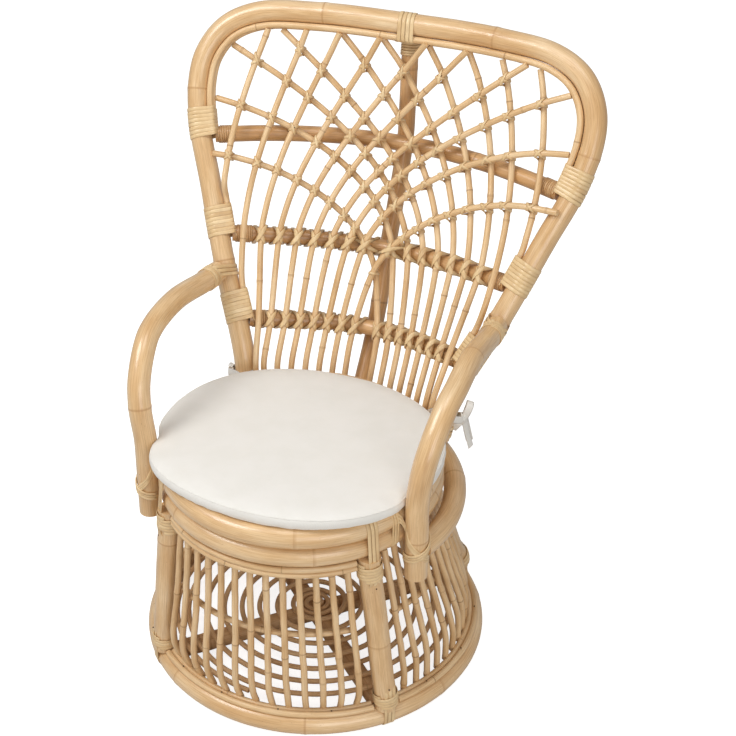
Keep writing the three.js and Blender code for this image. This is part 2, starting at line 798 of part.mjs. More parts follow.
const floorRodRadius = floorRodDiameter / 2;
const floorPoleTop = poleRadius + floorPoleRadius * flatShare;
const floorRodHeight = floorPoleTop + clearance + floorRodRadius * stripFlatShare;
const spiralPoints = spiralPlaces().map(([angle, radius]) => basePoint(angle, radius, floorRodHeight));
addPiece('floor_spiral', rodAlong(spiralPoints, floorRodDiameter, spiralPoints.length - 1, stripSides),
  materials.floor);

// Least distance between the surfaces of two turns, measured from each point to the segments of the
// rest of the coil that lie more than half a turn further on
function leastTurnGap(points, diameter) {
  const segment = new THREE.Line3();
  const nearest = new THREE.Vector3();
  let least = Infinity;
  points.forEach((point, number) => {
    for (let next = number + coilSteps / 2; next + 1 < points.length; next += 1) {
      segment.set(points[next], points[next + 1]).closestPointToPoint(point, true, nearest);
      least = Math.min(least, nearest.distanceTo(point) - diameter);
    }
  });
  return least;
}

// Cushion: boxed edge and a low crown, as shares of half width and of the edge and crown heights. It is
// a little wider than the seat rings, and its edge gives way where the arms press on it.
const cushionHalfWidth = seatRingRadius + poleRadius + cushionOverhang;
const cushionMiddle = -seatForward - cushionForward;
const cushionProfile = [
  [0, 0, 0], [0.5, 0, 0], [0.93, 0, 0], [0.985, 0.12, 0], [1, 0.32, 0], [0.992, 0.5, 0], [1, 0.68, 0],
  [0.985, 0.9, 0], [0.945, 1, 0.05], [0.8, 1, 0.42], [0.55, 1, 0.78], [0.25, 1, 0.96], [0, 1, 1],
];

function dentedShare(across, depth) {
  const armDirection = degrees(Math.atan2(armFoot.y - cushionMiddle, armFoot.x));
  const away = Math.abs(degrees(Math.atan2(depth, Math.abs(across))) - armDirection);
  const near = Math.cos(radians(Math.min(away / cushionDentSpread, 1) * quarterTurn));
  return 1 - cushionDent * near / cushionHalfWidth;
}

function cushion() {
  const profile = cushionProfile.map(([reachShare, edgeShare, crownShare]) => new THREE.Vector2(
    reachShare,
    edgeShare * cushionEdgeHeight + crownShare * cushionCrownHeight,
  ));
  const shape = new THREE.LatheGeometry(profile, cushionSteps)
    .rotateX(Math.PI / 2)
    .scale(cushionHalfWidth, cushionHalfWidth * cushionDepthShare, 1);
  const places = shape.attributes.position;
  for (let count = 0; count < places.count; count += 1) {
    const dented = dentedShare(places.getX(count), places.getY(count));
    places.setXY(count, places.getX(count) * dented, places.getY(count) * dented);
  }
  return shape.translate(0, cushionMiddle, seatHeight + clearance);
}

addPiece('cushion', cushion(), materials.cotton);

// Windings: a flat cane laid round a bundle of round sections, given as [inward, behind, radius]. Each
// corner of a turn is where two straight runs meet, and both runs touch the outside of the bundle.
function bundlePoint(bundle, turn, rise) {
  const step = radians(fullTurn / turnSteps);
  const reachOf = (angle) => Math.max(...bundle.map(([inward, behind, radius]) => (
    inward * Math.cos(angle) + behind * Math.sin(angle) + radius + rise
  )));
  const before = turn - step / 2;
  const after = turn + step / 2;
  return {
    inward: (reachOf(before) * Math.sin(after) - reachOf(after) * Math.sin(before)) / Math.sin(step),
    behind: (reachOf(after) * Math.cos(before) - reachOf(before) * Math.cos(after)) / Math.sin(step),
    normal: new THREE.Vector2(Math.cos(turn), Math.sin(turn)),
  };
}

let leastWindingGap = Infinity;

// frameAt(distance) gives the centre of the bundle and its inward, behind and along directions
function winding(frameAt, bundle, turns) {
  const sections = [];
  const spans = [];
  const rise = caneThickness / 2 + clearance;
  let leastHere = Infinity;
  for (let step = 0; step <= turns * turnSteps; step += 1) {
    const turn = radians(((step + 0.5) / turnSteps) * fullTurn);
    const frame = frameAt((step / turnSteps - turns / 2) * canePitch);
    const place = bundlePoint(bundle, turn, rise);
    const centre = frame.centre.clone()
      .addScaledVector(frame.inward, place.inward)
      .addScaledVector(frame.behind, place.behind);
    const outward = new THREE.Vector3()
      .addScaledVector(frame.inward, place.normal.x)
      .addScaledVector(frame.behind, place.normal.y);
    const halfWidth = frame.along.clone().multiplyScalar(caneWidth / 2);
    const halfThickness = outward.multiplyScalar(caneThickness / 2);
    spans.push([centre.clone().sub(halfWidth), centre.clone().add(halfWidth)]);
    sections.push([
      centre.clone().sub(halfWidth).sub(halfThickness),
      centre.clone().sub(halfWidth).add(halfThickness),
      centre.clone().add(halfWidth).add(halfThickness),
      centre.clone().add(halfWidth).sub(halfThickness),
    ]);
  }
  for (let step = turnSteps; step < spans.length; step += 1) {
    const opening = spans[step][0].clone().sub(spans[step - turnSteps][1]);
    const width = spans[step][1].clone().sub(spans[step][0]).normalize();
    leastHere = Math.min(leastHere, opening.dot(width));
  }
  leastWindingGap = Math.min(leastWindingGap, leastHere);
  return outwardFacing(skinSections(sections));
}

// Turns the skin right side out where the frame is left-handed
function outwardFacing(geometry) {
  const spot = geometry.attributes.position;
  const index = geometry.index;
  let volume = 0;
  const corners = [new THREE.Vector3(), new THREE.Vector3(), new THREE.Vector3()];
  for (let start = 0; start < index.count; start += 3) {
    corners.forEach((corner, number) => corner.fromBufferAttribute(spot, index.getX(start + number)));
    volume += corners[0].dot(new THREE.Vector3().crossVectors(corners[1], corners[2]));
  }
  if (volume < 0) {
    for (let start = 0; start < index.count; start += 3) {
      const first = index.getX(start);
      index.setX(start, index.getX(start + 1));
      index.setX(start + 1, first);
    }
  }
  return geometry;
}

// Frames along the hoop, the arms and other curves
const backNormal = new THREE.Vector3(0, slopeCos, -slopeSin);
const hoopLength = hoopCurve.getLength();

function hoopFrame(share, hand) {
  return (distance) => {
    const place = share + (hand * distance) / hoopLength;
    const along = hoopCurve.getTangentAt(place);
    const inward = new THREE.Vector3().crossVectors(backNormal, along).normalize();
    const behind = new THREE.Vector3().crossVectors(along, inward).normalize();
    return { centre: hoopCurve.getPointAt(place), inward, behind, along: along.multiplyScalar(hand) };
  };
}

const acrossChair = new THREE.Vector3(1, 0, 0);

function curveFrame(points, share) {
  const curve = new THREE.CatmullRomCurve3(points, false, 'centripetal');
  const length = curve.getLength();
  return (distance) => {
    const place = share + distance / length;
    const along = curve.getTangentAt(place);
    const inward = new THREE.Vector3().crossVectors(along, acrossChair).normalize();
    const behind = new THREE.Vector3().crossVectors(along, inward).normalize();
    return { centre: curve.getPointAt(place), inward, behind, along };
  };
}

const poleAlone = (radius) => [[0, 0, radius]];
const poleAndEdging = (radius) => [
  [0, 0, radius],
  [edgingInset, -edgingOffset, edgingRadius],
  [edgingInset, edgingOffset, edgingRadius],
];
const flatRadius = poleRadius * flatShare;
const barEnds = {
  upper: topBarRise - topBarFall,
  middle: middleBarRise - middleBarFall,
  lower: lowerBarRise - lowerBarFall,
};
for (const [side, hand] of [['left', -1], ['right', 1]]) {
  for (const [place, up] of Object.entries(barEnds)) {
    const share = hoopShareAt(up + bindingLift, hand);
    addPiece(`binding_${side}_${place}`, winding(hoopFrame(share, -hand), poleAndEdging(flatRadius),
      bindingTurns),
      materials.cane);
  }
  const points = armPath(hand);
  const armLength = new THREE.CatmullRomCurve3(points, false, 'centripetal').getLength();
  const half = (canePitch * armBindingTurns) / 2 + caneWidth;
  addPiece(`binding_${side}_arm_top`, winding(curveFrame(points, half / armLength), poleAlone(flatRadius),
    armBindingTurns), materials.cane);
  const lowHalf = armFootBindingTurns * canePitch;
  addPiece(`binding_${side}_arm_foot`, winding(curveFrame(points, 1 - lowHalf / armLength), poleAlone(poleRadius),
    armFootBindingTurns), materials.cane);
  const footShare = ((hoopFootBindingTurns * canePitch) / 2 + caneWidth) / hoopLength;
  addPiece(`binding_${side}_hoop_foot`, winding(hoopFrame(hand < 0 ? footShare : 1 - footShare, -hand),
    poleAlone(flatRadius), hoopFootBindingTurns), materials.cane);
}
addPiece('binding_top', winding(hoopFrame(0.5, 1), poleAndEdging(poleRadius), topBindingTurns), materials.cane);

console.log(`least gap between turns of a winding: ${leastWindingGap.toFixed(2)} mm`);
const spiralGap = leastTurnGap(spiralPoints, floorRodDiameter);
console.log(`least gap between turns of the floor spiral: ${spiralGap.toFixed(2)} mm`);

// Ties: a flat tape from the cushion's edge round the foot of the hoop, as shares of the hoop foot's
// distance across, of the cushion's half width behind the seat's centre, and of the cushion's edge height
const tieShares = [
  [0.9435, 0.5948, 0.6], [1.04, 0.667, 0.52], [1.16, 0.707, 0.24], [1.21, 0.7315, -0.45],
  [1.265, 0.7225, -1.55],
];

function tie(hand) {
  const points = tieShares.map(([spreadShare, depthShare, dropShare]) => new THREE.Vector3(
    hand * spreadShare * hoopFootSpread,
    depthShare * cushionHalfWidth - seatForward,
    seatHeight + dropShare * cushionEdgeHeight,
  ));
  const curve = new THREE.CatmullRomCurve3(points, false, 'centripetal');
  const sections = [];
  for (let step = 0; step <= tieSteps; step += 1) {
    const centre = curve.getPointAt(step / tieSteps);
    const along = curve.getTangentAt(step / tieSteps);
    const wide = new THREE.Vector3(0, 1, 0).cross(along).normalize().multiplyScalar(tieThickness / 2);
    const tall = new THREE.Vector3().crossVectors(along, wide).normalize().multiplyScalar(tieWidth / 2);
    sections.push([
      centre.clone().sub(wide).sub(tall),
      centre.clone().sub(wide).add(tall),
      centre.clone().add(wide).add(tall),
      centre.clone().add(wide).sub(tall),
    ]);
  }
  return outwardFacing(skinSections(sections));
}

addPiece('tie_left', tie(-1), materials.cotton);
addPiece('tie_right', tie(1), materials.cotton);

// The part's own origin is on the floor under the middle of the whole outline
const middle = new THREE.Box3().setFromObject(chair).getCenter(new THREE.Vector3());
for (const mesh of chair.children) mesh.geometry.translate(-middle.x, -middle.y, 0);

export default chair;
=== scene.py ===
# %% [markdown]
# A rattan peacock chair, dressed for its portrait
#
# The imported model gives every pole, rod and winding its place. Its solids are plain prisms, so this
# lesson builds the natural material around the same centre-lines: round poles that swell at their
# nodes, a fan of thin rods, flat cane bindings, small lashings and a canvas cushion.

# %% Load the frame
import math

import bpy
import numpy as np
from mathutils import Matrix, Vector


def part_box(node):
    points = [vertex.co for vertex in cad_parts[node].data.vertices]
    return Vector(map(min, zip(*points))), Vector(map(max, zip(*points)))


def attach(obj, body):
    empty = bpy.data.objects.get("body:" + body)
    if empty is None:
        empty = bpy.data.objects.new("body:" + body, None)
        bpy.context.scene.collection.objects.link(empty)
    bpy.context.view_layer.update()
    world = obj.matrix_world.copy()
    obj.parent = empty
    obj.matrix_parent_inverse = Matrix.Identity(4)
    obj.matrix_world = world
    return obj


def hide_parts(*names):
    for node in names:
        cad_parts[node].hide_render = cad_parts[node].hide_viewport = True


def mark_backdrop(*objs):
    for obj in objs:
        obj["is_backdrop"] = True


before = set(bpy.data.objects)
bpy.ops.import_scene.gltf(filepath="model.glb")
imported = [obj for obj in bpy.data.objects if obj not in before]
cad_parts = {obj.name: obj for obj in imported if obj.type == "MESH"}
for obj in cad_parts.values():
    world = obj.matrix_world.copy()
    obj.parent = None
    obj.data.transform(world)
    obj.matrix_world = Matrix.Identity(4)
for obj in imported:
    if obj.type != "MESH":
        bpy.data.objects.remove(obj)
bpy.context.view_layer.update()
MM = 0.001
ring_low, ring_high = (np.array(corner, float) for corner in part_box("base_ring"))
HUB = (ring_low + ring_high) / 2
HUB[2] = ring_low[2]
print(len(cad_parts), "nodes; centre of the base ring, metres:", np.round(HUB, 4))


def to_frame(points):
    """Millimetres from the centre of the base ring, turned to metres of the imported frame."""
    return np.asarray(points, float) * MM + HUB


# %% [markdown]
# The camera
#
# A chair in a catalogue is often taken from above and to one side with a long lens, so that its seat
# and its back both show. The lens, the place and the small shift were solved from the chair's own
# circles and its mirror symmetry; nothing here is found by eye.

# %% Camera
AZIMUTH, ELEVATION, ROLL = (math.radians(degrees) for degrees in (21.12, 33.17, -0.11))
CAMERA_PLACE = (763.3, -1874.9, 1776.8)
LENS, SENSOR = 85.25, 36.0
SHIFT = (0.0391, 0.0035)


def in_scene(name, data):
    """A new object with this data, linked into the scene."""
    item = bpy.data.objects.new(name, data)
    bpy.context.scene.collection.objects.link(item)
    return item


def facing(place, back, roll=0.0):
    """The matrix of a camera or lamp at a place, with its back towards a direction and its top up."""
    back = np.asarray(back, float) / np.linalg.norm(back)
    right = np.cross([0, 0, 1], back)
    right /= np.linalg.norm(right)
    right = right * math.cos(roll) + np.cross(back, right) * math.sin(roll)
    matrix = np.eye(4)
    matrix[:3, :3] = np.column_stack([right, np.cross(back, right), back])
    matrix[:3, 3] = place
    return Matrix(matrix.tolist())


camera_data = bpy.data.cameras.new("portrait_camera")
camera_data.lens = LENS
camera_data.sensor_width = SENSOR
camera_data.shift_x, camera_data.shift_y = SHIFT
camera = in_scene("portrait_camera", camera_data)
camera_back = (math.sin(AZIMUTH) * math.cos(ELEVATION), -math.cos(AZIMUTH) * math.cos(ELEVATION),
               math.sin(ELEVATION))
camera.matrix_world = facing(to_frame(CAMERA_PLACE), camera_back, ROLL)
bpy.context.scene.camera = camera
bpy.context.scene.view_settings.view_transform = "Standard"
print("camera stands at", np.round(to_frame(CAMERA_PLACE), 3), "with a lens of", LENS, "mm")

# %% [markdown]
# Small helpers for colour and nodes
#
# Colours are picked as sRGB hex values, the way a paint chart gives them, and the shader wants them
# linear. One function adds a node, sets it and links it, so that each material reads as a short list. An
# input that is given as a socket is linked, and one that is given as a value is set.

# %% Colour and node helpers
# A Mix node has sockets for each kind of data; these are its factor and the ones it uses for colours.
MIX_FACTOR, MIX_FIRST, MIX_SECOND, MIX_RESULT = 0, 6, 7, 2


def linear(hex_colour):
    """An sRGB hex colour as a linear RGBA tuple."""
    parts = [int(hex_colour[start:start + 2], 16) / 255 for start in (1, 3, 5)]
    curve = [part / 12.92 if part <= 0.04045 else ((part + 0.055) / 1.055) ** 2.4 for part in parts]
    return (*curve, 1.0)


def feed(tree, node, inputs):
    """Give a node its inputs: a socket is linked, anything else is the input's own value."""
    for name, value in inputs.items():
        if isinstance(value, bpy.types.NodeSocket):
            tree.links.new(value, node.inputs[name])
        else:
            node.inputs[name].default_value = value


def add_node(tree, kind, inputs=None, output=0, stops=(), **settings):
    """Add a node with its settings, inputs and colour ramp stops, and return one of its outputs."""
    node = tree.nodes.new(kind)
    for name, value in settings.items():
        setattr(node, name, value)
    feed(tree, node, inputs or {})
    while stops and len(node.color_ramp.elements) < len(stops):
        node.color_ramp.elements.new(0.5)
    for number, (position, colour) in enumerate(stops):
        node.color_ramp.elements[number].position = position
        node.color_ramp.elements[number].color = linear(colour)
    return node.outputs[output] if len(node.outputs) else None


def new_material(name):
    """A material with only its shader and output, its tree and the shader."""
    material = bpy.data.materials.new(name)
    material.use_nodes = True
    tree = material.node_tree
    tree.nodes.clear()
    surface = add_node(tree, "ShaderNodeBsdfPrincipled")
    add_node(tree, "ShaderNodeOutputMaterial", {"Surface": surface})
    return material, tree, surface.node


print("helpers ready; pale rattan is", [round(part, 3) for part in linear("#D9BD92")])

# %% [markdown]
# Peeled rattan
#
# Rattan is a climbing palm. Its core is a bundle of fibres along the pole, so peeled rattan shows fine
# streaks lengthways, pale blotches some centimetres long and a slightly darker scar at each node. The
# pattern follows the pole through an attribute called "grain": across the section in x and y, and along
# the pole in z. A second attribute, "joint", is 1 at a node and 0 between nodes. Real fibres are about
# half a millimetre wide, finer than a pixel here, so they are drawn 1.2 mm wide.

# %% Rattan material
FIBRE_WIDTH = 0.55
FIBRE_DRAWN = FIBRE_WIDTH * 2.2
FIBRE_LENGTH = 45.0
BLOTCH_SIZE, BLOTCH_LENGTH = 26.0, 110.0
FLECK_SIZE = 1.6
STREAK_SHARE, FLECK_SHARE = 0.42, 0.5
RATTAN_IOR, COAT_ROUGHNESS = 1.5, 0.2


def per_metre(millimetres):
    """Texture cycles for a metre, for a pattern of this size."""
    return 1 / (millimetres * MM)


def pattern(tree, source, across, along, detail=3.0, roughness=0.55):
    """A noise value whose cycles have the given size in millimetres across and along the grain."""
    scale = (per_metre(across), per_metre(across), per_metre(along))
    stretched = add_node(tree, "ShaderNodeMapping", {"Vector": source, "Scale": scale})
    return add_node(tree, "ShaderNodeTexNoise", {"Vector": stretched, "Scale": 1.0, "Detail": detail,
                                                 "Roughness": roughness}, output="Fac")


def rattan(name, pale, mid, deep, scar, roughness, coat, fibre_depth):
    """Peeled rattan: blotches, lengthwise fibres, fine flecks and node scars over a satin surface."""
    material, tree, shader = new_material(name)
    grain = add_node(tree, "ShaderNodeAttribute", output="Vector", attribute_name="grain")
    joint = add_node(tree, "ShaderNodeAttribute", output="Fac", attribute_name="joint")
    blotch = pattern(tree, grain, BLOTCH_SIZE, BLOTCH_LENGTH, 4.0)
    fibre = pattern(tree, grain, FIBRE_DRAWN, FIBRE_LENGTH, 4.0, 0.65)
    fleck = pattern(tree, grain, FLECK_SIZE, FLECK_SIZE * 3, 2.0)
    colour = add_node(tree, "ShaderNodeValToRGB", {"Fac": blotch},
                      stops=[(0.3, deep), (0.5, mid), (0.68, pale)])
    streak = add_node(tree, "ShaderNodeValToRGB", {"Fac": fibre},
                      stops=[(0.34, "#B89872"), (0.5, "#E8E0D2"), (0.62, "#FFFFFF")])
    speck = add_node(tree, "ShaderNodeValToRGB", {"Fac": fleck},
                     stops=[(0.70, "#FFFFFF"), (0.76, "#9A7448")])
    scarred = add_node(tree, "ShaderNodeMapRange",
                       {"Value": joint, "From Min": 0.66, "From Max": 1.0, "To Max": 0.75})
    for blend, share, layer in (("MULTIPLY", STREAK_SHARE, streak), ("MULTIPLY", FLECK_SHARE, speck),
                                ("MIX", scarred, linear(scar))):
        colour = add_node(tree, "ShaderNodeMix", {MIX_FACTOR: share, MIX_FIRST: colour, MIX_SECOND: layer},
                          output=MIX_RESULT, data_type="RGBA", blend_type=blend)
    rough = add_node(tree, "ShaderNodeMapRange",
                     {"Value": fibre, "To Min": roughness - 0.08, "To Max": roughness + 0.1})
    bump = add_node(tree, "ShaderNodeBump", {"Height": fibre, "Strength": 0.5, "Distance": fibre_depth * MM})
    feed(tree, shader, {"Base Color": colour, "Roughness": rough, "Normal": bump, "IOR": RATTAN_IOR,
                        "Coat Weight": coat, "Coat Roughness": COAT_ROUGHNESS})
    return material


# %% [markdown]
# Six finishes of one palm
#
# A maker sorts and finishes rattan by its use. The colours below run from the palest blotch to the scar of
# a node; then come the roughness, the share of lacquer and the depth of the fibres in millimetres.

# %% Finishes of rattan
# Bent poles are peeled, sanded and lacquered, which gives soft long highlights on pale yellow.
pole_rattan = rattan("peeled_pole_satin_lacquer",
                     "#F3D5AA", "#E9C492", "#DCB17B", "#BB8953", 0.36, 0.8, 0.18)
# Thin rods are peeled and hardly lacquered, so they look dry, and their nodes show as dark marks.
rod_rattan = rattan("peeled_thin_rod_satin", "#F4D8AE", "#EBC898", "#D9B07B", "#8F6238", 0.43, 0.25, 0.12)
# Cane is the split skin of the palm: even in colour, with a light gloss of its own.
cane_peel = rattan("split_cane_glossy_skin", "#F6DDB2", "#ECCE9E", "#DCB784", "#BE9662", 0.36, 0.25, 0.1)
# The collars are of a darker cane, which sets the ends of the bars off from the hoop.
collar_cane = rattan("split_cane_dark_skin", "#DDB98A", "#CDA473", "#B98D5C", "#94693F", 0.4, 0.25, 0.1)
# The bars and the back pole are smoked to an amber tone and shine less than the hoop.
back_rattan = rattan("smoked_pole_satin_lacquer", "#EBC18E", "#D9AB74", "#BE8E59", "#926A3F", 0.4, 0.5, 0.2)
# The cross and the coil in the drum aren't sanded and get almost no lacquer, so they stay rough and matt.
floor_rattan = rattan("unsanded_inner_rattan", "#F2CDA0", "#E4BA88", "#CA9D6E", "#A2794F", 0.55, 0.1, 0.3)
finishes = (pole_rattan, rod_rattan, cane_peel, collar_cane, back_rattan, floor_rattan)
print("rattan finishes:", [finish.name for finish in finishes])

# %% [markdown]
# Cotton canvas
#
# The cushion cover is plain-woven cotton in a warm off-white. Real threads are about half a millimetre
# apart, finer than a pixel here, so the weave is drawn at 1.2 mm to show as a soft tooth, and wide soft
# blotches of painted shade in its colour stand for the rumples of the filling underneath.

# %% Canvas material
# The drawn thread, and the size of the blotches of painted shade that stand for the filling's rumples.
THREAD, RUMPLE_SHADE_SIZE = 1.2, 34.0
WEAVE_SHARE = 0.12
# A wave texture of scale 1 repeats every pi / 10 units.
WAVE_CYCLE = math.pi / 10


def canvas(name, warp, weft, shade):
    """Plain weave from two crossed sets of waves, with wide blotches of painted shade and a matt fuzzy
    surface.
    """
    material, tree, shader = new_material(name)
    place = add_node(tree, "ShaderNodeTexCoord", output="Object")
    waves = [add_node(tree, "ShaderNodeTexWave",
                      {"Vector": place, "Scale": per_metre(THREAD) * WAVE_CYCLE, "Distortion": 0.6,
                       "Detail": 1.0, "Detail Scale": 2.0}, output="Fac", bands_direction=direction)
             for direction in ("X", "Y")]
    weave = add_node(tree, "ShaderNodeMath", dict(enumerate(waves)), operation="MULTIPLY")
    # Painted shade: a soft mottle, 34 mm across, darkens the colour a little to stand for rumples of the
    # filling.
    rumple_shade = pattern(tree, place, RUMPLE_SHADE_SIZE, RUMPLE_SHADE_SIZE)
    ground = add_node(tree, "ShaderNodeValToRGB", {"Fac": rumple_shade}, stops=[(0.35, shade), (0.65, warp)])
    thread = add_node(tree, "ShaderNodeValToRGB", {"Fac": weave}, stops=[(0.0, weft), (0.6, "#FFFFFF")])
    colour = add_node(tree, "ShaderNodeMix",
                      {MIX_FACTOR: WEAVE_SHARE, MIX_FIRST: ground, MIX_SECOND: thread},
                      output=MIX_RESULT, data_type="RGBA", blend_type="MULTIPLY")
    bump = add_node(tree, "ShaderNodeBump", {"Height": weave, "Strength": 0.35, "Distance": 0.15 * MM})
    feed(tree, shader, {"Base Color": colour, "Normal": bump, "Roughness": 0.92, "Sheen Weight": 0.25,
                        "Sheen Roughness": 0.5})
    return material


# Washed cotton scatters light in its nap, so it looks matt and a little brighter towards its edges.
# The last colour is the painted shade of the rumples.
cotton = canvas("plain_woven_cotton_canvas", "#EFECE6", "#E4E0D8", "#ECE9E2")
print("canvas threads drawn every", THREAD, "mm")

# %% [markdown]
# A node tree that grows rattan
#
# Every pole, rod and spoke is a round section swept along a line, so one Geometry Nodes tree makes them
# all. It takes bare lines (a mesh of edges), spaces their points evenly, lets them wander a little as
# grown rods do, swells the section at each node, and records the grain. Each line carries a "phase" so
# that no two rods have their nodes at the same height. First come the parts that all the trees share.

# %% Shared parts of the trees


def open_tree(name, sockets):
    """A new tree with a geometry, the named inputs and a material, and its input sockets."""
    tree = bpy.data.node_groups.new(name, "GeometryNodeTree")
    tree.interface.new_socket("Geometry", in_out="INPUT", socket_type="NodeSocketGeometry")
    for label, default in sockets.items():
        kind = "NodeSocketInt" if isinstance(default, int) else "NodeSocketFloat"
        tree.interface.new_socket(label, in_out="INPUT", socket_type=kind).default_value = default
    tree.interface.new_socket("Material", in_out="INPUT", socket_type="NodeSocketMaterial")
    tree.interface.new_socket("Geometry", in_out="OUTPUT", socket_type="NodeSocketGeometry")
    return tree, tree.nodes.new("NodeGroupInput").outputs


def run_along(tree):
    """The phase of a line, and the distance along it counted on from that phase."""
    phase = add_node(tree, "GeometryNodeInputNamedAttribute", {"Name": "phase"}, data_type="FLOAT")
    length = add_node(tree, "GeometryNodeSplineParameter", output="Length")
    return phase, add_node(tree, "ShaderNodeMath", {0: length, 1: phase}, operation="ADD")


def swept(tree, line, section, run, scale):
    """Sweep a section along a line, and read back each point's spot on the section and its run."""
    spot = add_node(tree, "GeometryNodeInputPosition")
    marks = []
    for geometry, name, value, kind in ((line, "run", run, "FLOAT"),
                                        (section, "spot", spot, "FLOAT_VECTOR")):
        marks.append(add_node(tree, "GeometryNodeStoreNamedAttribute",
                              {"Geometry": geometry, "Name": name, "Value": value},
                              data_type=kind, domain="POINT"))
    solid = add_node(tree, "GeometryNodeCurveToMesh",
                     {"Curve": marks[0], "Profile Curve": marks[1], "Scale": scale, "Fill Caps": True})
    spot_read = add_node(tree, "GeometryNodeInputNamedAttribute", {"Name": "spot"}, data_type="FLOAT_VECTOR")
    run_read = add_node(tree, "GeometryNodeInputNamedAttribute", {"Name": "run"}, data_type="FLOAT")
    parts = add_node(tree, "ShaderNodeSeparateXYZ", {0: spot_read}).node.outputs
    return solid, parts, run_read


def close_tree(tree, geometry, material, grain=None):
    """End a tree: store the grain, shade smooth, make the geometry real and set its material."""
    if grain:
        vector = add_node(tree, "ShaderNodeCombineXYZ", grain)
        geometry = add_node(tree, "GeometryNodeStoreNamedAttribute",
                            {"Geometry": geometry, "Name": "grain", "Value": vector},
                            data_type="FLOAT_VECTOR", domain="POINT")
    smooth = add_node(tree, "GeometryNodeSetShadeSmooth", {"Geometry": geometry})
    real = add_node(tree, "GeometryNodeRealizeInstances", {"Geometry": smooth})
    painted = add_node(tree, "GeometryNodeSetMaterial", {"Geometry": real, "Material": material})
    add_node(tree, "NodeGroupOutput", {"Geometry": painted})
    return tree


print("trees share", [part.__name__ for part in (open_tree, run_along, swept, close_tree)])

# %% Rod tree
WANDER_CYCLES = 22.0


def rod_tree():
    """Sweep a round section along each line, with nodes, wander and grain."""
    tree, value = open_tree("grown_rod", {"Radius": 0.005, "Sides": 16, "Step": 0.004, "Node Spacing": 0.12,
                                          "Node Length": 0.006, "Swell": 0.06, "Wander": 0.0005})
    line = add_node(tree, "GeometryNodeMeshToCurve", {"Mesh": value["Geometry"]})
    even = add_node(tree, "GeometryNodeResampleCurve", {"Curve": line, "Length": value["Step"]},
                    mode="LENGTH")
    phase, run = run_along(tree)
    wander = add_node(tree, "ShaderNodeTexNoise", {"W": phase, "Scale": WANDER_CYCLES, "Detail": 2.0},
                      output="Color", noise_dimensions="4D")
    centred = add_node(tree, "ShaderNodeVectorMath", {0: wander, 1: (0.5, 0.5, 0.5)}, operation="SUBTRACT")
    offset = add_node(tree, "ShaderNodeVectorMath", {0: centred, "Scale": value["Wander"]},
                      operation="SCALE")
    moved = add_node(tree, "GeometryNodeSetPosition", {"Geometry": even, "Offset": offset})
    half_spacing = add_node(tree, "ShaderNodeMath", {0: value["Node Spacing"], 1: 0.5}, operation="MULTIPLY")
    from_node = add_node(tree, "ShaderNodeMath", {0: run, 1: half_spacing}, operation="PINGPONG")
    joint = add_node(tree, "ShaderNodeMapRange",
                     {"Value": from_node, "From Min": 0.0, "From Max": value["Node Length"], "To Min": 1.0,
                      "To Max": 0.0}, interpolation_type="SMOOTHSTEP")
    jointed = add_node(tree, "GeometryNodeStoreNamedAttribute",
                       {"Geometry": moved, "Name": "joint", "Value": joint},
                       data_type="FLOAT", domain="POINT")
    section = add_node(tree, "GeometryNodeCurvePrimitiveCircle",
                       {"Resolution": value["Sides"], "Radius": value["Radius"]})
    grown = add_node(tree, "ShaderNodeMath", {0: joint, 1: value["Swell"], 2: 1.0}, operation="MULTIPLY_ADD")
    solid, spot, run_read = swept(tree, jointed, section, run, grown)
    return close_tree(tree, solid, value["Material"], {"X": spot["X"], "Y": spot["Y"], "Z": run_read})


grown_rod = rod_tree()
print("tree", grown_rod.name, "has", len(grown_rod.nodes), "nodes")

# %% [markdown]
# Flat cane along a line
#
# Bindings, straps and lashings are split cane: a flat strip whose skin side faces out. The second tree
# sweeps a flattened oval along each line and turns its flat side by an "outward" vector that the line
# carries, so that the strip lies against whatever it is wound round. The fibres of such a strip are too
# fine to see across its few millimetres, so its grain hardly changes there and varies lengthways.

# %% Cane tree
SQUARE_POWER = 0.7


def cane_tree():
    """Sweep a flat oval along each line, its flat side facing the stored outward direction."""
    tree, value = open_tree("laid_cane", {"Width": 0.006, "Thickness": 0.0012, "Sides": 10})
    line = add_node(tree, "GeometryNodeMeshToCurve", {"Mesh": value["Geometry"]})
    outward = add_node(tree, "GeometryNodeInputNamedAttribute", {"Name": "outward"},
                       data_type="FLOAT_VECTOR")
    faced = add_node(tree, "GeometryNodeSetCurveNormal", {"Curve": line, "Normal": outward}, mode="FREE")
    circle = add_node(tree, "GeometryNodeCurvePrimitiveCircle",
                      {"Resolution": value["Sides"], "Radius": 0.5})
    spot = add_node(tree, "GeometryNodeInputPosition")
    round_at = add_node(tree, "ShaderNodeSeparateXYZ", {0: spot}).node.outputs
    size = add_node(tree, "ShaderNodeMath", {0: round_at["X"]}, operation="ABSOLUTE")
    squared = add_node(tree, "ShaderNodeMath", {0: size, 1: SQUARE_POWER}, operation="POWER")
    sign = add_node(tree, "ShaderNodeMath", {0: round_at["X"]}, operation="SIGN")
    signed = add_node(tree, "ShaderNodeMath", {0: sign, 1: squared}, operation="MULTIPLY")
    across = [add_node(tree, "ShaderNodeMath", {0: part, 1: value[label]}, operation="MULTIPLY")
              for part, label in ((signed, "Thickness"), (round_at["Y"], "Width"))]
    flat = add_node(tree, "ShaderNodeCombineXYZ", {"X": across[0], "Y": across[1]})
    section = add_node(tree, "GeometryNodeSetPosition", {"Geometry": circle, "Position": flat})
    _, run = run_along(tree)
    solid, spot_read, run_read = swept(tree, faced, section, run, 1.0)
    grain = [add_node(tree, "ShaderNodeMath", {0: spot_read[part], 1: value[label]}, operation="MULTIPLY")
             for part, label in (("Y", "Width"), ("X", "Thickness"))]
    return close_tree(tree, solid, value["Material"], {"X": grain[0], "Y": grain[1], "Z": run_read})


laid_cane = cane_tree()
print("tree", laid_cane.name, "has", len(laid_cane.nodes), "nodes")

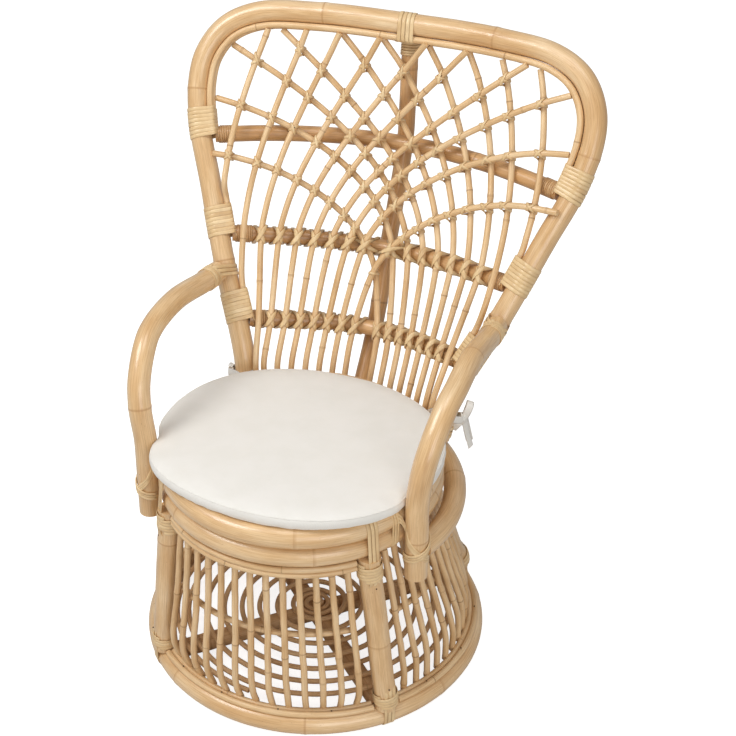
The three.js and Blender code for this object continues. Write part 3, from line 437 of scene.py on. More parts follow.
# %% [markdown]
# From lines to pieces
#
# A tree works on a small mesh of bare lines. This cell makes that mesh, lets the tree run once, keeps
# the result as a plain mesh and drops the modifier, so that each piece is finished when it is made.

# %% Lines to pieces
pieces = {}
phase_source = np.random.default_rng(7)
LONGEST_PHASE = 3.0
ROD_LOOK = dict(sides=16, step=0.003, node_spacing=0.17, node_length=0.005, swell=0.1, wander=0.0009)


def line_mesh(name, lines, closed=False, outwards=None):
    """A mesh of edges from several lines in millimetres; each line gets a random phase in metres."""
    vertices, edges, phases = [], [], []
    for line in lines:
        start = len(vertices)
        vertices.extend(to_frame(line).tolist())
        edges.extend((step, step + 1) for step in range(start, len(vertices) - 1))
        if closed:
            edges.append((len(vertices) - 1, start))
        phases.extend([float(phase_source.uniform(0, LONGEST_PHASE))] * len(line))
    mesh = bpy.data.meshes.new(name)
    mesh.from_pydata(vertices, edges, [])
    mesh.attributes.new("phase", "FLOAT", "POINT").data.foreach_set("value", phases)
    if outwards is not None:
        outward = mesh.attributes.new("outward", "FLOAT_VECTOR", "POINT")
        outward.data.foreach_set("vector", np.vstack(outwards).ravel())
    return mesh


def made_plain(source, name):
    """The mesh that an object's modifiers leave; the object is removed."""
    graph = bpy.context.evaluated_depsgraph_get()
    mesh = bpy.data.meshes.new_from_object(source.evaluated_get(graph), depsgraph=graph)
    mesh.name = name
    bpy.data.objects.remove(source)
    return mesh


def keep(name, mesh, replaced=()):
    """Link a finished mesh as a piece that rides on the chair."""
    piece = in_scene(name, mesh)
    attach(piece, "root")
    if replaced:
        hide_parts(*replaced)
    pieces[name] = piece
    return piece


def grow(name, tree, mesh, material, slot, replaced=(), **sizes):
    """Run a tree on a line mesh and keep the plain result as a piece in place of the solids it hides."""
    source = in_scene(name + "_lines", mesh)
    modifier = source.modifiers.new("grow", "NODES")
    modifier.node_group = tree
    wanted = {label.replace("_", " ").title(): value for label, value in sizes.items()}
    wanted["Material"] = material
    for socket in tree.interface.items_tree:
        if socket.in_out == "INPUT" and socket.name in wanted:
            modifier[socket.identifier] = wanted[socket.name]
    return keep(name, made_plain(source, name), replaced)


def rods(name, lines, diameter, nodes=(), material=rod_rattan, slot="rattan_rod", closed=False, **look):
    """Round stock along one or more lines in millimetres, as one piece that replaces the nodes named."""
    return grow(name, grown_rod, line_mesh(name, lines, closed), material, slot, nodes,
                radius=diameter / 2 * MM, **{**ROD_LOOK, **look})


print("each line starts its nodes up to", LONGEST_PHASE, "m along")

# %% [markdown]
# Lines through chosen points
#
# A bent pole is drawn by a few points and a smooth line through them. The centripetal Catmull-Rom line
# is used because it passes through every point and never loops between close ones. Spacing the result
# evenly keeps the facets, and with them the grain, the same size all along the pole.

# %% Smooth lines
BLENDS = [((0, 1), (1, 2), (2, 3)), ((0, 2), (1, 3)), ((1, 2),)]


def smooth_line(points, per_span=24):
    """A centripetal Catmull-Rom line through the points, as many short steps."""
    points = [np.asarray(point, float) for point in points]
    ends = [2 * points[0] - points[1], *points, 2 * points[-1] - points[-2]]
    line = [points[0]]
    for before, start, stop, after in zip(ends, ends[1:], ends[2:], ends[3:]):
        knots = [0.0]
        for first, second in ((before, start), (start, stop), (stop, after)):
            knots.append(knots[-1] + max(np.linalg.norm(second - first), 1e-6) ** 0.5)
        for step in range(1, per_span + 1):
            at = knots[1] + (knots[2] - knots[1]) * step / per_span
            corners = [before, start, stop, after]
            for spans in BLENDS:
                corners = [
                    (corners[spot] * (knots[high] - at) + corners[spot + 1] * (at - knots[low]))
                    / (knots[high] - knots[low]) for spot, (low, high) in enumerate(spans)]
            line.append(corners[0])
    return np.array(line)


def run_of(line):
    """The distance along a line at each of its points."""
    return np.concatenate([[0], np.cumsum(np.linalg.norm(np.diff(line, axis=0), axis=1))])


def evenly(line, count):
    """The same line in evenly spaced points."""
    line = np.asarray(line, float)
    run = run_of(line)
    wanted = np.linspace(0, run[-1], count + 1)
    return np.column_stack([np.interp(wanted, run, line[:, axis]) for axis in range(3)])


def unit(vector):
    """The same direction with length one."""
    return np.asarray(vector, float) / np.linalg.norm(vector)


def length_of(line):
    """Length of a line of points."""
    return float(run_of(line)[-1])


test_bend = smooth_line([(0, 0, 0), (50, 0, 0), (50, 50, 0)])
print("a test bend is", round(length_of(test_bend), 1), "mm long")

# %% [markdown]
# The sizes of the chair
#
# These are the same driving sizes as the solids have, in millimetres, so that each dressed piece lies
# where its solid lies.

# %% Sizes
# Diameters of the stock, and the gap between neighbouring solids.
POLE, BAR, BACK_POLE, ROD, SPOKE, STRIP = 32.0, 24.0, 25.0, 9.6, 11.4, 8.6
GAP = 0.3
# The solids of the poles have eight sides; this is how far their flats lie from the middle, as a share.
FLAT = math.cos(math.pi / 8)
POLE_R, ROD_R = POLE / 2, ROD / 2
BASE_R, SEAT_R, SEAT_FORWARD, SEAT_TOP = 238.0, 185.0, 47.0, 357.0
OUTER_R, OUTER_FORWARD, ARM_ANGLE = 215.0, 41.0, 67.6
BASE_Z = POLE_R * FLAT
BASE_TOP = 2 * BASE_Z
UPPER_Z = SEAT_TOP - POLE_R * FLAT
LOWER_Z = UPPER_Z - POLE * FLAT - GAP
LOWER_UNDER = LOWER_Z - POLE_R * FLAT
OUTER_DROP = 26.7
OUTER_Z = LOWER_Z - OUTER_DROP
OUTER_TOP = OUTER_Z + POLE_R
print("seat rings at heights", round(UPPER_Z, 1), "and", round(LOWER_Z, 1), "mm")


def base_point(angle, radius, height):
    """A point on a circle round the base, by degrees from the front towards +X."""
    turn = math.radians(angle)
    return np.array([radius * math.sin(turn), -radius * math.cos(turn), height])


def seat_point(angle, radius, height):
    """The same on a circle round the seat, which sits further forward."""
    return base_point(angle, radius, height) - np.array([0, SEAT_FORWARD, 0])


def outer_point(angle, height):
    """A point on the open hoop outside the seat rings."""
    return base_point(angle, OUTER_R, height) - np.array([0, OUTER_FORWARD, 0])


def outer_at(across, height):
    """The point of the open hoop's rear half at a distance across."""
    return np.array([across, math.sqrt(OUTER_R ** 2 - across ** 2) - OUTER_FORWARD, height])


# %% [markdown]
# Rings, hoop and posts
#
# The seat is two rings of thick pole stacked on each other, with a third, open hoop outside them that
# carries the back. Four posts stand on the ring on the floor. Each ring is bent from one pole whose ends
# are scarfed together, so its nodes come round at even distances.

# %% Seat, base and posts
POLE_LOOK = dict(material=pole_rattan, slot="rattan_pole", sides=40, step=0.004, node_spacing=0.21,
                 node_length=0.007, swell=0.035, wander=0.0007)
FLOOR_RING, FLOOR_RING_Z = POLE - 1, BASE_Z + 0.6


def pole(name, lines, node, diameter=POLE, **look):
    """A thick pole along one or more lines, in place of a node."""
    return rods(name, lines, diameter, [node], **{**POLE_LOOK, **look})


def circle(point_at, radius, height, count=180):
    """A closed circle that starts at the back, where its scarf is out of sight."""
    return [point_at(180 + 360 * step / count, radius, height) for step in range(count)]


pole("upper_seat_ring", [circle(seat_point, SEAT_R, UPPER_Z)], "seat_ring_upper", closed=True)
pole("lower_seat_ring", [circle(seat_point, SEAT_R, LOWER_Z)], "seat_ring_lower", closed=True)
pole("floor_ring", [circle(base_point, BASE_R, FLOOR_RING_Z)], "base_ring", FLOOR_RING, closed=True)

RING_OUTSIDE = SEAT_R + POLE_R * FLAT
ARM_END = SEAT_TOP * 0.695
arm_foot = seat_point(ARM_ANGLE, RING_OUTSIDE + POLE_R + GAP, ARM_END)
arm_turn = math.degrees(math.atan2(arm_foot[0], -arm_foot[1] - OUTER_FORWARD))
outer_start = arm_turn + math.degrees((POLE_R * FLAT + GAP * 1.5) / OUTER_R)
outer_line = [outer_point(angle, OUTER_Z) for angle in np.linspace(outer_start, 360 - outer_start, 200)]
pole("outer_seat_hoop", [outer_line], "seat_hoop_outer")
print("outer hoop is open over", round(2 * outer_start), "degrees")

# %% Posts
# Angles of a post's top and foot from the front, and how far its top stands out from the seat rings.
POSTS = {"front_right": (50, 46, 8), "rear_right": (130, 134, -5),
         "rear_left": (230, 226, -5), "front_left": (-50, -46, 8)}
POST_STRAIGHT, POST_FOOT_OUT = 16, 2


def post_line(top_angle, foot_angle, top_reach):
    """A post from under the lower ring to the floor ring, swelling outwards low down."""
    top = seat_point(top_angle, SEAT_R + top_reach, LOWER_UNDER - GAP * 2)
    foot = base_point(foot_angle, BASE_R + POST_FOOT_OUT, BASE_TOP + GAP * 2)
    straight = np.array([0, 0, POST_STRAIGHT])
    swell = top + (foot - top) * 0.8 + base_point(foot_angle, 1, 0)
    middle = top + (foot - top) * 0.4
    return evenly(smooth_line([top, top - straight, middle, swell, foot + straight, foot]), 60)


post_lines = {place: post_line(*angles) for place, angles in POSTS.items()}
for place, line in post_lines.items():
    pole(f"dressed_post_{place}", [line], f"post_{place}")
print("posts are", [round(length_of(line)) for line in post_lines.values()], "mm long")

# %% [markdown]
# The hoop of the back
#
# One pole, bent by steam, runs from the left foot over the top to the right foot. Half of its outline is
# given as shares of its width and rise; the other half mirrors it. It lies in a reclined plane, and its
# top bows a little to the rear.

# %% Back hoop
JOINT_Z, JOINT_Y = 484.3, 184.7
RECLINE = math.radians(26.8)
LEAN_SIN, LEAN_COS = math.sin(RECLINE), math.cos(RECLINE)
HALF_WIDTH, RISE, TOP_BOW = 301.0, 387.0, 22.0
FOOT_ACROSS, FOOT_LIFT = 151, 3.4
HOOP_STEPS = 800
# Half of the hoop as shares of its half width and its rise, from low to high.
OUTLINE = [(0.551, -0.31), (0.718, 0), (0.86, 0.3), (0.963, 0.515), (1, 0.68),
           (0.982, 0.79), (0.9, 0.895), (0.75, 0.962), (0.45, 0.993)]


def smoothstep(value, low, high):
    """0 below low, 1 above high, smooth between."""
    share = min(max((value - low) / (high - low), 0.0), 1.0)
    return share * share * (3 - 2 * share)


def back_point(across, up, behind):
    """A point of the reclined back: across, up the slope and behind its plane."""
    return np.array([across, JOINT_Y + up * LEAN_SIN + behind * LEAN_COS,
                     JOINT_Z + up * LEAN_COS - behind * LEAN_SIN])


def back_place(point):
    """The reverse: across, up and behind of a point."""
    depth, height = point[1] - JOINT_Y, point[2] - JOINT_Z
    return np.array([point[0], depth * LEAN_SIN + height * LEAN_COS,
                     depth * LEAN_COS - height * LEAN_SIN])


def hoop_bow(across, up):
    """How far the hoop lies behind its plane."""
    return TOP_BOW * (1 - (across / HALF_WIDTH) ** 2) * smoothstep(up, RISE / 2, RISE)


def hoop_half(hand):
    """The points of one half of the hoop, foot first."""
    points = [outer_at(hand * FOOT_ACROSS, OUTER_TOP + FOOT_LIFT)]
    for width_share, rise_share in OUTLINE:
        across, up = width_share * HALF_WIDTH, rise_share * RISE
        points.append(back_point(hand * across, up, hoop_bow(across, up)))
    return points


hoop_points = [*hoop_half(-1), back_point(0, RISE, TOP_BOW), *hoop_half(1)[::-1]]
hoop_line = evenly(smooth_line(hoop_points, 60), HOOP_STEPS)
hoop_tangent = np.gradient(hoop_line, axis=0)
hoop_tangent /= np.linalg.norm(hoop_tangent, axis=1)[:, None]
BACK_NORMAL = np.array([0, LEAN_COS, -LEAN_SIN])
pole("dressed_back_hoop", [hoop_line[::2]], "back_hoop", node_spacing=0.26)
print("the hoop's pole is", round(length_of(hoop_line)), "mm long")

# %% Places on the hoop
right_side = [back_place(point) for point in hoop_line[::-2] if point[0] > 0]


def hoop_half_at(up):
    """Half the hoop's width at a height up the slope; the widest above its widest place."""
    widest = right_side[0]
    for place in right_side[1:]:
        if place[1] >= up:
            share = (up - widest[1]) / max(place[1] - widest[1], GAP)
            return widest[0] + (place[0] - widest[0]) * min(max(share, 0), 1)
        if place[0] < widest[0]:
            return widest[0]
        widest = place
    return widest[0]


def hoop_at(share):
    """Centre, inward direction and tangent of the hoop at a share of its length."""
    spot = min(max(share, 0.0), 1.0) * (len(hoop_line) - 1)
    low = min(int(spot), len(hoop_line) - 2)
    centre = hoop_line[low] + (hoop_line[low + 1] - hoop_line[low]) * (spot - low)
    along = hoop_tangent[int(round(spot))]
    return centre, unit(np.cross(BACK_NORMAL, along)), along


def inside_hoop(share, inset, behind):
    """A point inside the hoop, and so far behind its centre-line."""
    centre, inward, _ = hoop_at(share)
    return centre + inward * inset + BACK_NORMAL * behind


def hoop_share_at(up, hand):
    """The share of the hoop's length where one side passes a height up the slope."""
    half = hoop_line[:HOOP_STEPS // 2 + 1]
    best = int(np.argmin([abs(back_place(point)[1] - up) for point in half])) / HOOP_STEPS
    return best if hand < 0 else 1 - best


ENDS_UP = {"lower": -73, "middle": 47, "top": 187}
print("half width at the crossbars:", [round(hoop_half_at(up)) for up in ENDS_UP.values()], "mm")

# %% [markdown]
# The fan
#
# Twenty rods rise from the seat, spread, and sweep across to the other side, so that the two hands of
# rods cross in a net of ever wider eyes. They lie on a surface that bulges backwards between the sides
# of the hoop. Each sweep is one Bezier curve; the lean of its end grows from rod to rod, from nearly
# upright to nearly level.

# %% Fan surface and sweeps
EDGING_IN = POLE_R + GAP + ROD_R
EDGING_OFF = ROD_R + GAP / 2
RIM_BOW, FAN_BOW, FAN_TOP_BOW, BOW_TURN, FAN_TOP = 12.0, 57.0, 24.0, 190.0, 361.0
# Height of each bar at its middle, up the slope, and how much lower its ends are.
BARS = {"top": (216, 29), "middle": (60, 13), "lower": (-62, 11)}
REAR = ROD_R + GAP * 1.5
RODS = 10
# The lean of each rod where it ends, in degrees from upright, and the share of the hoop where that is.
END_LEANS = [16, 19, 26, 31, 40, 44, 53, 68, 86, 93]
END_SHARES = [0.625, 0.588, 0.558, 0.522, 0.482, 0.445, 0.39, 0.328, 0.266, 0.215]
NEARBY = 4


def fan_behind(across, up):
    """How far the fan bulges behind the hoop's plane."""
    reach = min(abs(across) / (hoop_half_at(up) - POLE_R), 1)
    fade = max(up - BOW_TURN, 0) / (FAN_TOP - BOW_TURN)
    crown = FAN_BOW + (FAN_TOP_BOW - FAN_BOW) * min(fade ** 2, 1)
    rim = -RIM_BOW * (1 - smoothstep(up, BOW_TURN, FAN_TOP))
    return rim + (crown - rim) * (1 - reach ** 2) ** 1.5


def fan_point(across, up, layer):
    """A point on the fan, moved square to its surface by a layer distance."""
    centre = back_point(across, up, fan_behind(across, up))
    beside = back_point(across + NEARBY, up, fan_behind(across + NEARBY, up)) - centre
    above = back_point(across, up + NEARBY, fan_behind(across, up + NEARBY)) - centre
    return centre + unit(np.cross(above, beside)) * layer


def lean(degrees):
    """A unit step that leans this far from upright towards the other side."""
    return np.array([-math.sin(math.radians(degrees)), math.cos(math.radians(degrees))])


TURN_FORWARD, TUCK_LENGTH = (-40, 10), 40


def layer_at(up, hand):
    """Right-hand rods stay in the rear layer; left-hand rods turn forward above the lower bar."""
    return REAR if hand > 0 else REAR * (1 - 2 * smoothstep(up, *TURN_FORWARD))


def tucked(rod):
    """The lower end of an outermost rod, held inside a binding."""
    low = ENDS_UP["middle" if rod == 0 else "lower"]
    return [low, low + TUCK_LENGTH]


print("the fan lies", round(fan_behind(0, ENDS_UP["middle"])), "mm behind the hoop at its middle")

# %% Sweeps of the rods
# Where the sweeps start, as across and up: the second rod, the step from rod to rod, and the last rod.
SECOND_START, START_STEP, LAST_START = np.array([193.0, 60.0]), np.array([24.6, 0]), np.array([0, 23.0])
# A rod leans this much where its sweep starts, and holds its two leans over these shares of the sweep.
START_LEAN, LEAN_STEP = -8, 3
START_HOLD, STOP_HOLD = 0.3, 0.37


def sweep(rod):
    """The rod's sweep over the net, as across and up of a right-hand rod."""
    if rod == 0:
        tuck_end = inside_hoop(hoop_share_at(tucked(0)[1], 1), EDGING_IN, 0)
        start = back_place(tuck_end)[:2]
    else:
        start = LAST_START if rod == RODS - 1 else SECOND_START - START_STEP * (rod - 1)
    _, _, along = hoop_at(END_SHARES[rod])
    slope = [along[0], along[1] * LEAN_SIN + along[2] * LEAN_COS]
    slant = abs(np.dot(slope, lean(END_LEANS[rod])))
    edging = POLE_R if rod == RODS - 1 else EDGING_IN + ROD_R
    stop = back_place(inside_hoop(END_SHARES[rod], edging + GAP + ROD_R * slant, 0))[:2]
    chord = np.linalg.norm(stop - start)
    hold_start = start + lean(START_LEAN + LEAN_STEP * rod) * chord * START_HOLD
    hold_stop = stop - lean(END_LEANS[rod]) * chord * STOP_HOLD
    steps = np.linspace(0, 1, 11)[:, None]
    return ((1 - steps) ** 3 * start + 3 * (1 - steps) ** 2 * steps * hold_start
            + 3 * (1 - steps) * steps ** 2 * hold_stop + steps ** 3 * stop)


print("the fifth rod sweeps from", np.round(sweep(4)[0]), "to", np.round(sweep(4)[-1]), "mm across and up")

# %% Lines of the rods
# Across the seat: the foot of the last rod, and the steps from rod to rod at the seat and at the lower bar.
LAST_FOOT, FOOT_STEP, LOW_STEP = 19, 16.7, 18.6
LOW_ROOM, BETWEEN_ROOM = 38, POLE * 0.72
ROD_ON = 0.6
MOST_ON = 30


def rod_line(rod, hand):
    """The centre-line of a fan rod from its foot to its end on the edging."""
    if rod < 2:
        points = [inside_hoop(hoop_share_at(up, hand), EDGING_IN, 0) for up in tucked(rod)]
    else:
        number, low = RODS - 1 - rod, ENDS_UP["lower"]
        foot_across = LAST_FOOT + number * FOOT_STEP
        across = min(LOW_STEP * (number + 1), hoop_half_at(low) - LOW_ROOM)
        between = min((foot_across + across) / 2, hoop_half_at(low * 2) - BETWEEN_ROOM)
        points = [outer_at(hand * foot_across, OUTER_TOP + ROD_R / 2),
                  fan_point(hand * between, low * 2, REAR), fan_point(hand * across, low, REAR)]
    *places, (last_across, last_up) = sweep(rod)[1 if rod == 0 else 0:]
    points += [fan_point(hand * across, up, layer_at(up, hand)) for across, up in places]
    if rod < RODS - 1:
        points.append(back_point(hand * last_across, last_up, hoop_bow(last_across, last_up) + hand * REAR))
    else:
        points.append(fan_point(hand * last_across, last_up, hand * REAR))
    return evenly(smooth_line(points), 130)


edging_start = hoop_share_at(ENDS_UP["top"], -1)
edging_lines = {place: np.array([inside_hoop(share, EDGING_IN, behind)
                                 for share in np.linspace(edging_start, 1 - edging_start, 240)])
                for place, behind in (("front", -EDGING_OFF), ("rear", EDGING_OFF))}
stops = [(line, ROD_R * 1.2) for line in edging_lines.values()] + [(hoop_line, POLE_R + ROD_R * 0.2)]


def run_on(line):
    """The rod carried on straight at its end until it presses into the edging or the hoop."""
    onward = unit(line[-1] - line[-4])
    added = []
    while len(added) < MOST_ON:
        tip = line[-1] + onward * ROD_ON * (len(added) + 1)
        added.append(tip)
        if any(np.linalg.norm(other - tip, axis=1).min() < near for other, near in stops):
            break
    return np.vstack([line, added])


fan_lines = {(hand, rod): run_on(rod_line(rod, hand)) for hand in (-1, 1) for rod in range(RODS)}
print("fan rods are", [round(length_of(fan_lines[1, rod])) for rod in range(RODS)], "mm long")

# %% [markdown]
# Crossing by crossing
#
# The crossings of the net are found by measuring between every left and right line. Each crossing later
# gets its own small lashing, so the list keeps which rods cross and where along each line. Crossings close
# to the edging are left out, because the ends of the rods are held there already.

# %% Crossings
CROSS_NEAR, EDGING_CLEAR = 11.5, 16
# The rods of the net are drawn a little thinner than their solids.
NET_ROD = ROD * 0.95


def nearest_pair(first, second):
    """Where two lines come nearest, as a place in each, and how near."""
    gaps = np.linalg.norm(first[:, None, :] - second[None, :, :], axis=2)
    one, two = np.unravel_index(int(np.argmin(gaps)), gaps.shape)
    return one, two, gaps[one, two]


def off_edging(point):
    """How far a point is from the nearer edging rod."""
    return min(np.linalg.norm(line - point, axis=1).min() for line in edging_lines.values())


crossings = []
for left in range(RODS):
    for right in range(RODS):
        one, two, gap = nearest_pair(fan_lines[-1, left], fan_lines[1, right])
        if gap < CROSS_NEAR and off_edging(fan_lines[-1, left][one]) > EDGING_CLEAR:
            crossings.append((left, right, one, two))
print("the net has", len(crossings), "crossings to tie")

# %% Rods of the net
for (hand, rod), line in fan_lines.items():
    side = "left" if hand < 0 else "right"
    rods(f"net_rod_{side}_{rod}", [line], NET_ROD, [f"fan_rod_{side}_{rod}"])
print("net rods made:", sum(name.startswith("net_rod_") for name in pieces))

# %% [markdown]
# Crossbars, back pole and edging
#
# Three bars bow behind the net and a pole up the middle stands behind the bars. Two rods lie side by side
# inside the upper hoop and cover the ends of the net.

# %% Bars, pole and edging
BAR_LAYER = REAR + ROD_R + GAP * 2 + BAR / 2
POLE_LAYER = BAR_LAYER + BAR / 2 + GAP + BACK_POLE / 2
BAR_SHORT = 25
# Above the top bar the pole follows the hoop's bow: shares of its rise, and of its bow behind the plane.
BACK_POLE_SHARES = [(0.727, 3.8), (0.874, 2.73), (0.965, 2.3)]


def bar_line(rise, fall):
    """A crossbar behind the net, a little lower at its ends."""
    half = hoop_half_at(rise - fall) - BAR_SHORT
    points = [fan_point(share * half, rise - fall * share ** 2, BAR_LAYER)
              for share in np.linspace(-1, 1, 9)]
    return evenly(smooth_line(points), 100)


bar_lines = {place: bar_line(*bar) for place, bar in BARS.items()}
for place, line in bar_lines.items():
    pole(f"bowed_bar_{place}", [line], f"crossbar_{place}", BAR, node_spacing=0.15, material=back_rattan)

seat_rear = outer_at(0, OUTER_Z)
behind_bars = [fan_point(0, BARS[place][0], POLE_LAYER) for place in ("lower", "middle", "top")]
back_pole_foot = seat_rear + unit(behind_bars[0] - seat_rear) * (POLE_R + GAP)
back_pole_head = [back_point(0, RISE * rise, TOP_BOW * bow) for rise, bow in BACK_POLE_SHARES]
back_pole_line = evenly(smooth_line([back_pole_foot, *behind_bars, *back_pole_head]), 140)
pole("middle_back_pole", [back_pole_line], "back_pole", BACK_POLE, node_spacing=0.18, material=back_rattan)

for place, line in edging_lines.items():
    rods(f"hoop_edging_{place}", [line], ROD, [f"edging_rod_{place}"], node_spacing=0.19, swell=0.08,
         wander=0.0004)
print("the back has", len(bar_lines), "bars and a pole of", round(length_of(back_pole_line)), "mm")

# %% [markdown]
# Arms
#
# Each arm is one thick pole: it butts on the hoop, runs forward, and bends down past the seat rings to a
# square-cut end that hangs free below the lashing.

# %% Arms
# Each point of an arm as shares: of its spread, of its reach forward and of its rise.
ARM_OUTLINE = [(0.986, 0.218, 0.909), (0.995, 0.519, 0.9845), (1, 0.734, 0.966), (0.986, 0.832, 0.924),
               (0.955, 0.949, 0.784), (0.928, 0.992, 0.648)]
ARM_SPREAD, ARM_REACH, ARM_TOP = 221.0, 131.0, JOINT_Z + 28
ARM_START = (-14, -23)


def arm_line(hand):
    """The centre-line of an arm from the hoop to its cut end."""
    points = [back_point(hand * hoop_half_at(0), *ARM_START)]
    for spread, reach, rise in ARM_OUTLINE:
        points.append(np.array([hand * spread * ARM_SPREAD, JOINT_Y - reach * (JOINT_Y + ARM_REACH),
                                ARM_END + (ARM_TOP - ARM_END) * rise]))
    points += [np.array([hand * arm_foot[0], arm_foot[1], height])
               for height in (SEAT_TOP + POLE_R, SEAT_TOP - POLE, ARM_END)]
    return evenly(smooth_line(points), 160)


arm_lines = {"left": arm_line(-1), "right": arm_line(1)}
for side, line in arm_lines.items():
    pole(f"bent_arm_{side}", [line], f"arm_{side}", node_spacing=0.31)
print("each arm is bent from", round(length_of(arm_lines["left"])), "mm of pole")

# %% [markdown]
# The drum wall
#
# Between two posts, thirteen spokes drop from under the seat, belly out and turn in to the floor ring. One
# strip holds their tops, two on the front bay, and a pair holds their feet. A bent rod behind them keeps
# them apart. All the spokes of a bay are lines of one mesh, so the tree grows them in one go, each with its
# own phase. They are drawn thinner than their solids, and with less belly.

# %% Drum wall
SPOKES, SPOKE_TOP_R, SPOKE_FOOT_R, BITE = 13, 185.0, 226.0, 3.0
SPOKE_TOP_Z, BELLY_Z, SPOKE_FOOT_Z, STRIP_FOOT_Z = 291.5, 72, 31, 34.5
STRIP_TOP = LOWER_UNDER - STRIP / 2 - GAP
# The front bay bellies past the floor ring by the first of these, and the others by the second.
FRONT_REACH, OTHER_REACH = 2, -13
# How many degrees the spokes and the strips end short of the posts, at the top and at the foot.
SPOKE_SHORT, STRIP_SHORT = (9, 9.5), (5.9, 4.7)
SPOKE_DRAWN, STRIP_DRAWN = SPOKE * 0.82, STRIP * 1.04
SPOKE_LOOK = dict(sides=14, step=0.004, node_spacing=0.14, node_length=0.006, swell=0.14, wander=0.0035)
STRIP_LOOK = dict(sides=12, step=0.004, node_spacing=0.16, swell=0.07, wander=0.0006)
# Middle angle of a bay, half its angle at the top and at the foot, and whether its strip is outside.
BAYS = {"front": (0, 50, 46, True), "right": (90, 40, 44, False),
        "rear": (180, 50, 46, False), "left": (270, 40, 44, False)}


def spoke_points(share, centre, top_half, foot_half, reach):
    """The four points of a spoke at a share of its bay; reach is how far it bellies past the ring."""
    top_angle = centre - top_half + 2 * top_half * share
    foot_angle = centre - foot_half + 2 * foot_half * share
    top = seat_point(top_angle, SPOKE_TOP_R, SPOKE_TOP_Z)
    belly = base_point(foot_angle, BASE_R + reach, BELLY_Z)
    return [top, top + (belly - top) * 0.55, belly, base_point(foot_angle, SPOKE_FOOT_R, SPOKE_FOOT_Z)]


def bay(name, centre, top_half, foot_half, outside):
    """Spokes, middle rod and strips of one bay."""
    spokes, middle = [], []
    hub = np.array([0, -SEAT_FORWARD / 3, 0])
    for number in range(SPOKES):
        points = spoke_points(number / (SPOKES - 1), centre, top_half - SPOKE_SHORT[0],
                              foot_half - SPOKE_SHORT[1], FRONT_REACH if outside else OTHER_REACH)
        spokes.append(evenly(smooth_line(points), 60))
        inward = unit((hub - points[1]) * (1, 1, 0))
        middle.append(points[1] + inward * (SPOKE / 2 + 5 - BITE / 2))
    rods(f"spokes_{name}", spokes, SPOKE_DRAWN, [f"base_panel_{name}"], **SPOKE_LOOK)
    side = 1 if outside else -1
    top_r = SPOKE_TOP_R + side * (SPOKE / 2 + STRIP / 2 - BITE / 2)
    top_arc = (seat_point, top_half - STRIP_SHORT[0], top_r)
    foot_half -= STRIP_SHORT[1]
    foot_r = SPOKE_FOOT_R + SPOKE / 2 + STRIP / 2 - BITE
    places = [(*top_arc, STRIP_TOP), (base_point, foot_half, foot_r, STRIP_FOOT_Z),
              (base_point, foot_half, foot_r + STRIP, STRIP_FOOT_Z)]
    if outside:
        places.append((*top_arc, STRIP_TOP - STRIP))
    arcs = [[point_at(angle, radius, height) for angle in np.linspace(centre - half, centre + half, 70)]
            for point_at, half, radius, height in places]
    rods(f"strips_{name}", [*arcs, evenly(smooth_line(middle), 70)], STRIP_DRAWN, **STRIP_LOOK)
    return spokes


bays = {name: bay(name, *sizes) for name, sizes in BAYS.items()}
print("spokes round the drum:", sum(len(spokes) for spokes in bays.values()))

# %% [markdown]
# The floor of the drum
#
# Two darker poles cross on the floor and one long rod is coiled over them, tight in the middle and wide
# outside. It is one line, and its coil opens where the tight turns end and closes again at the rim.

# %% Floor of the drum
CROSS_R, CROSS_Z, CROSS_DRAWN = 14, 16, 27
floor_room = (BASE_R - POLE_R * FLAT) * math.cos(math.pi / 40) - GAP
floor_reach = math.sqrt(floor_room ** 2 - CROSS_R ** 2)
cross_lines = [evenly([base_point(angle + turned, floor_reach, CROSS_Z) for turned in (0, 180)], 60)
               for angle in (46, -46)]
FLOOR_LOOK = dict(material=floor_rattan, slot="rattan_floor")
pole("crossed_floor_poles", cross_lines, "floor_cross", CROSS_DRAWN, **FLOOR_LOOK)

# Each stretch of the coil: steps in a turn, turns, and how much wider it grows in a turn.
COIL_STRETCHES = ((24, 3, 10.0), (72, 6, 26.83), (72, 1, 15.0))
COIL_DRAWN = STRIP * 0.9
coil_height = CROSS_Z + CROSS_R * FLAT + GAP + STRIP / 2 * math.cos(math.pi / 5)
coil, radius, angle = [], 6.0, 0.0
for steps_per_turn, turns, pitch in COIL_STRETCHES:
    for _ in range(steps_per_turn * turns):
        coil.append(base_point(angle, radius, coil_height))
        angle += 360 / steps_per_turn
        radius += pitch / steps_per_turn
rods("coiled_floor_rod", [coil], COIL_DRAWN, ["floor_spiral"], sides=12, step=0.004, node_spacing=0.2,
     swell=0.08, wander=0.002, **FLOOR_LOOK)
print("the coiled rod is", round(length_of(np.array(coil)) / 1000, 2), "m long")

# %% [markdown]
# Rods under the cushion
#
# Seven rods run across the seat and two more run under them from front to rear. Their ends stop short of
# the upper ring, so each rod is as long as the ring is wide at its place.

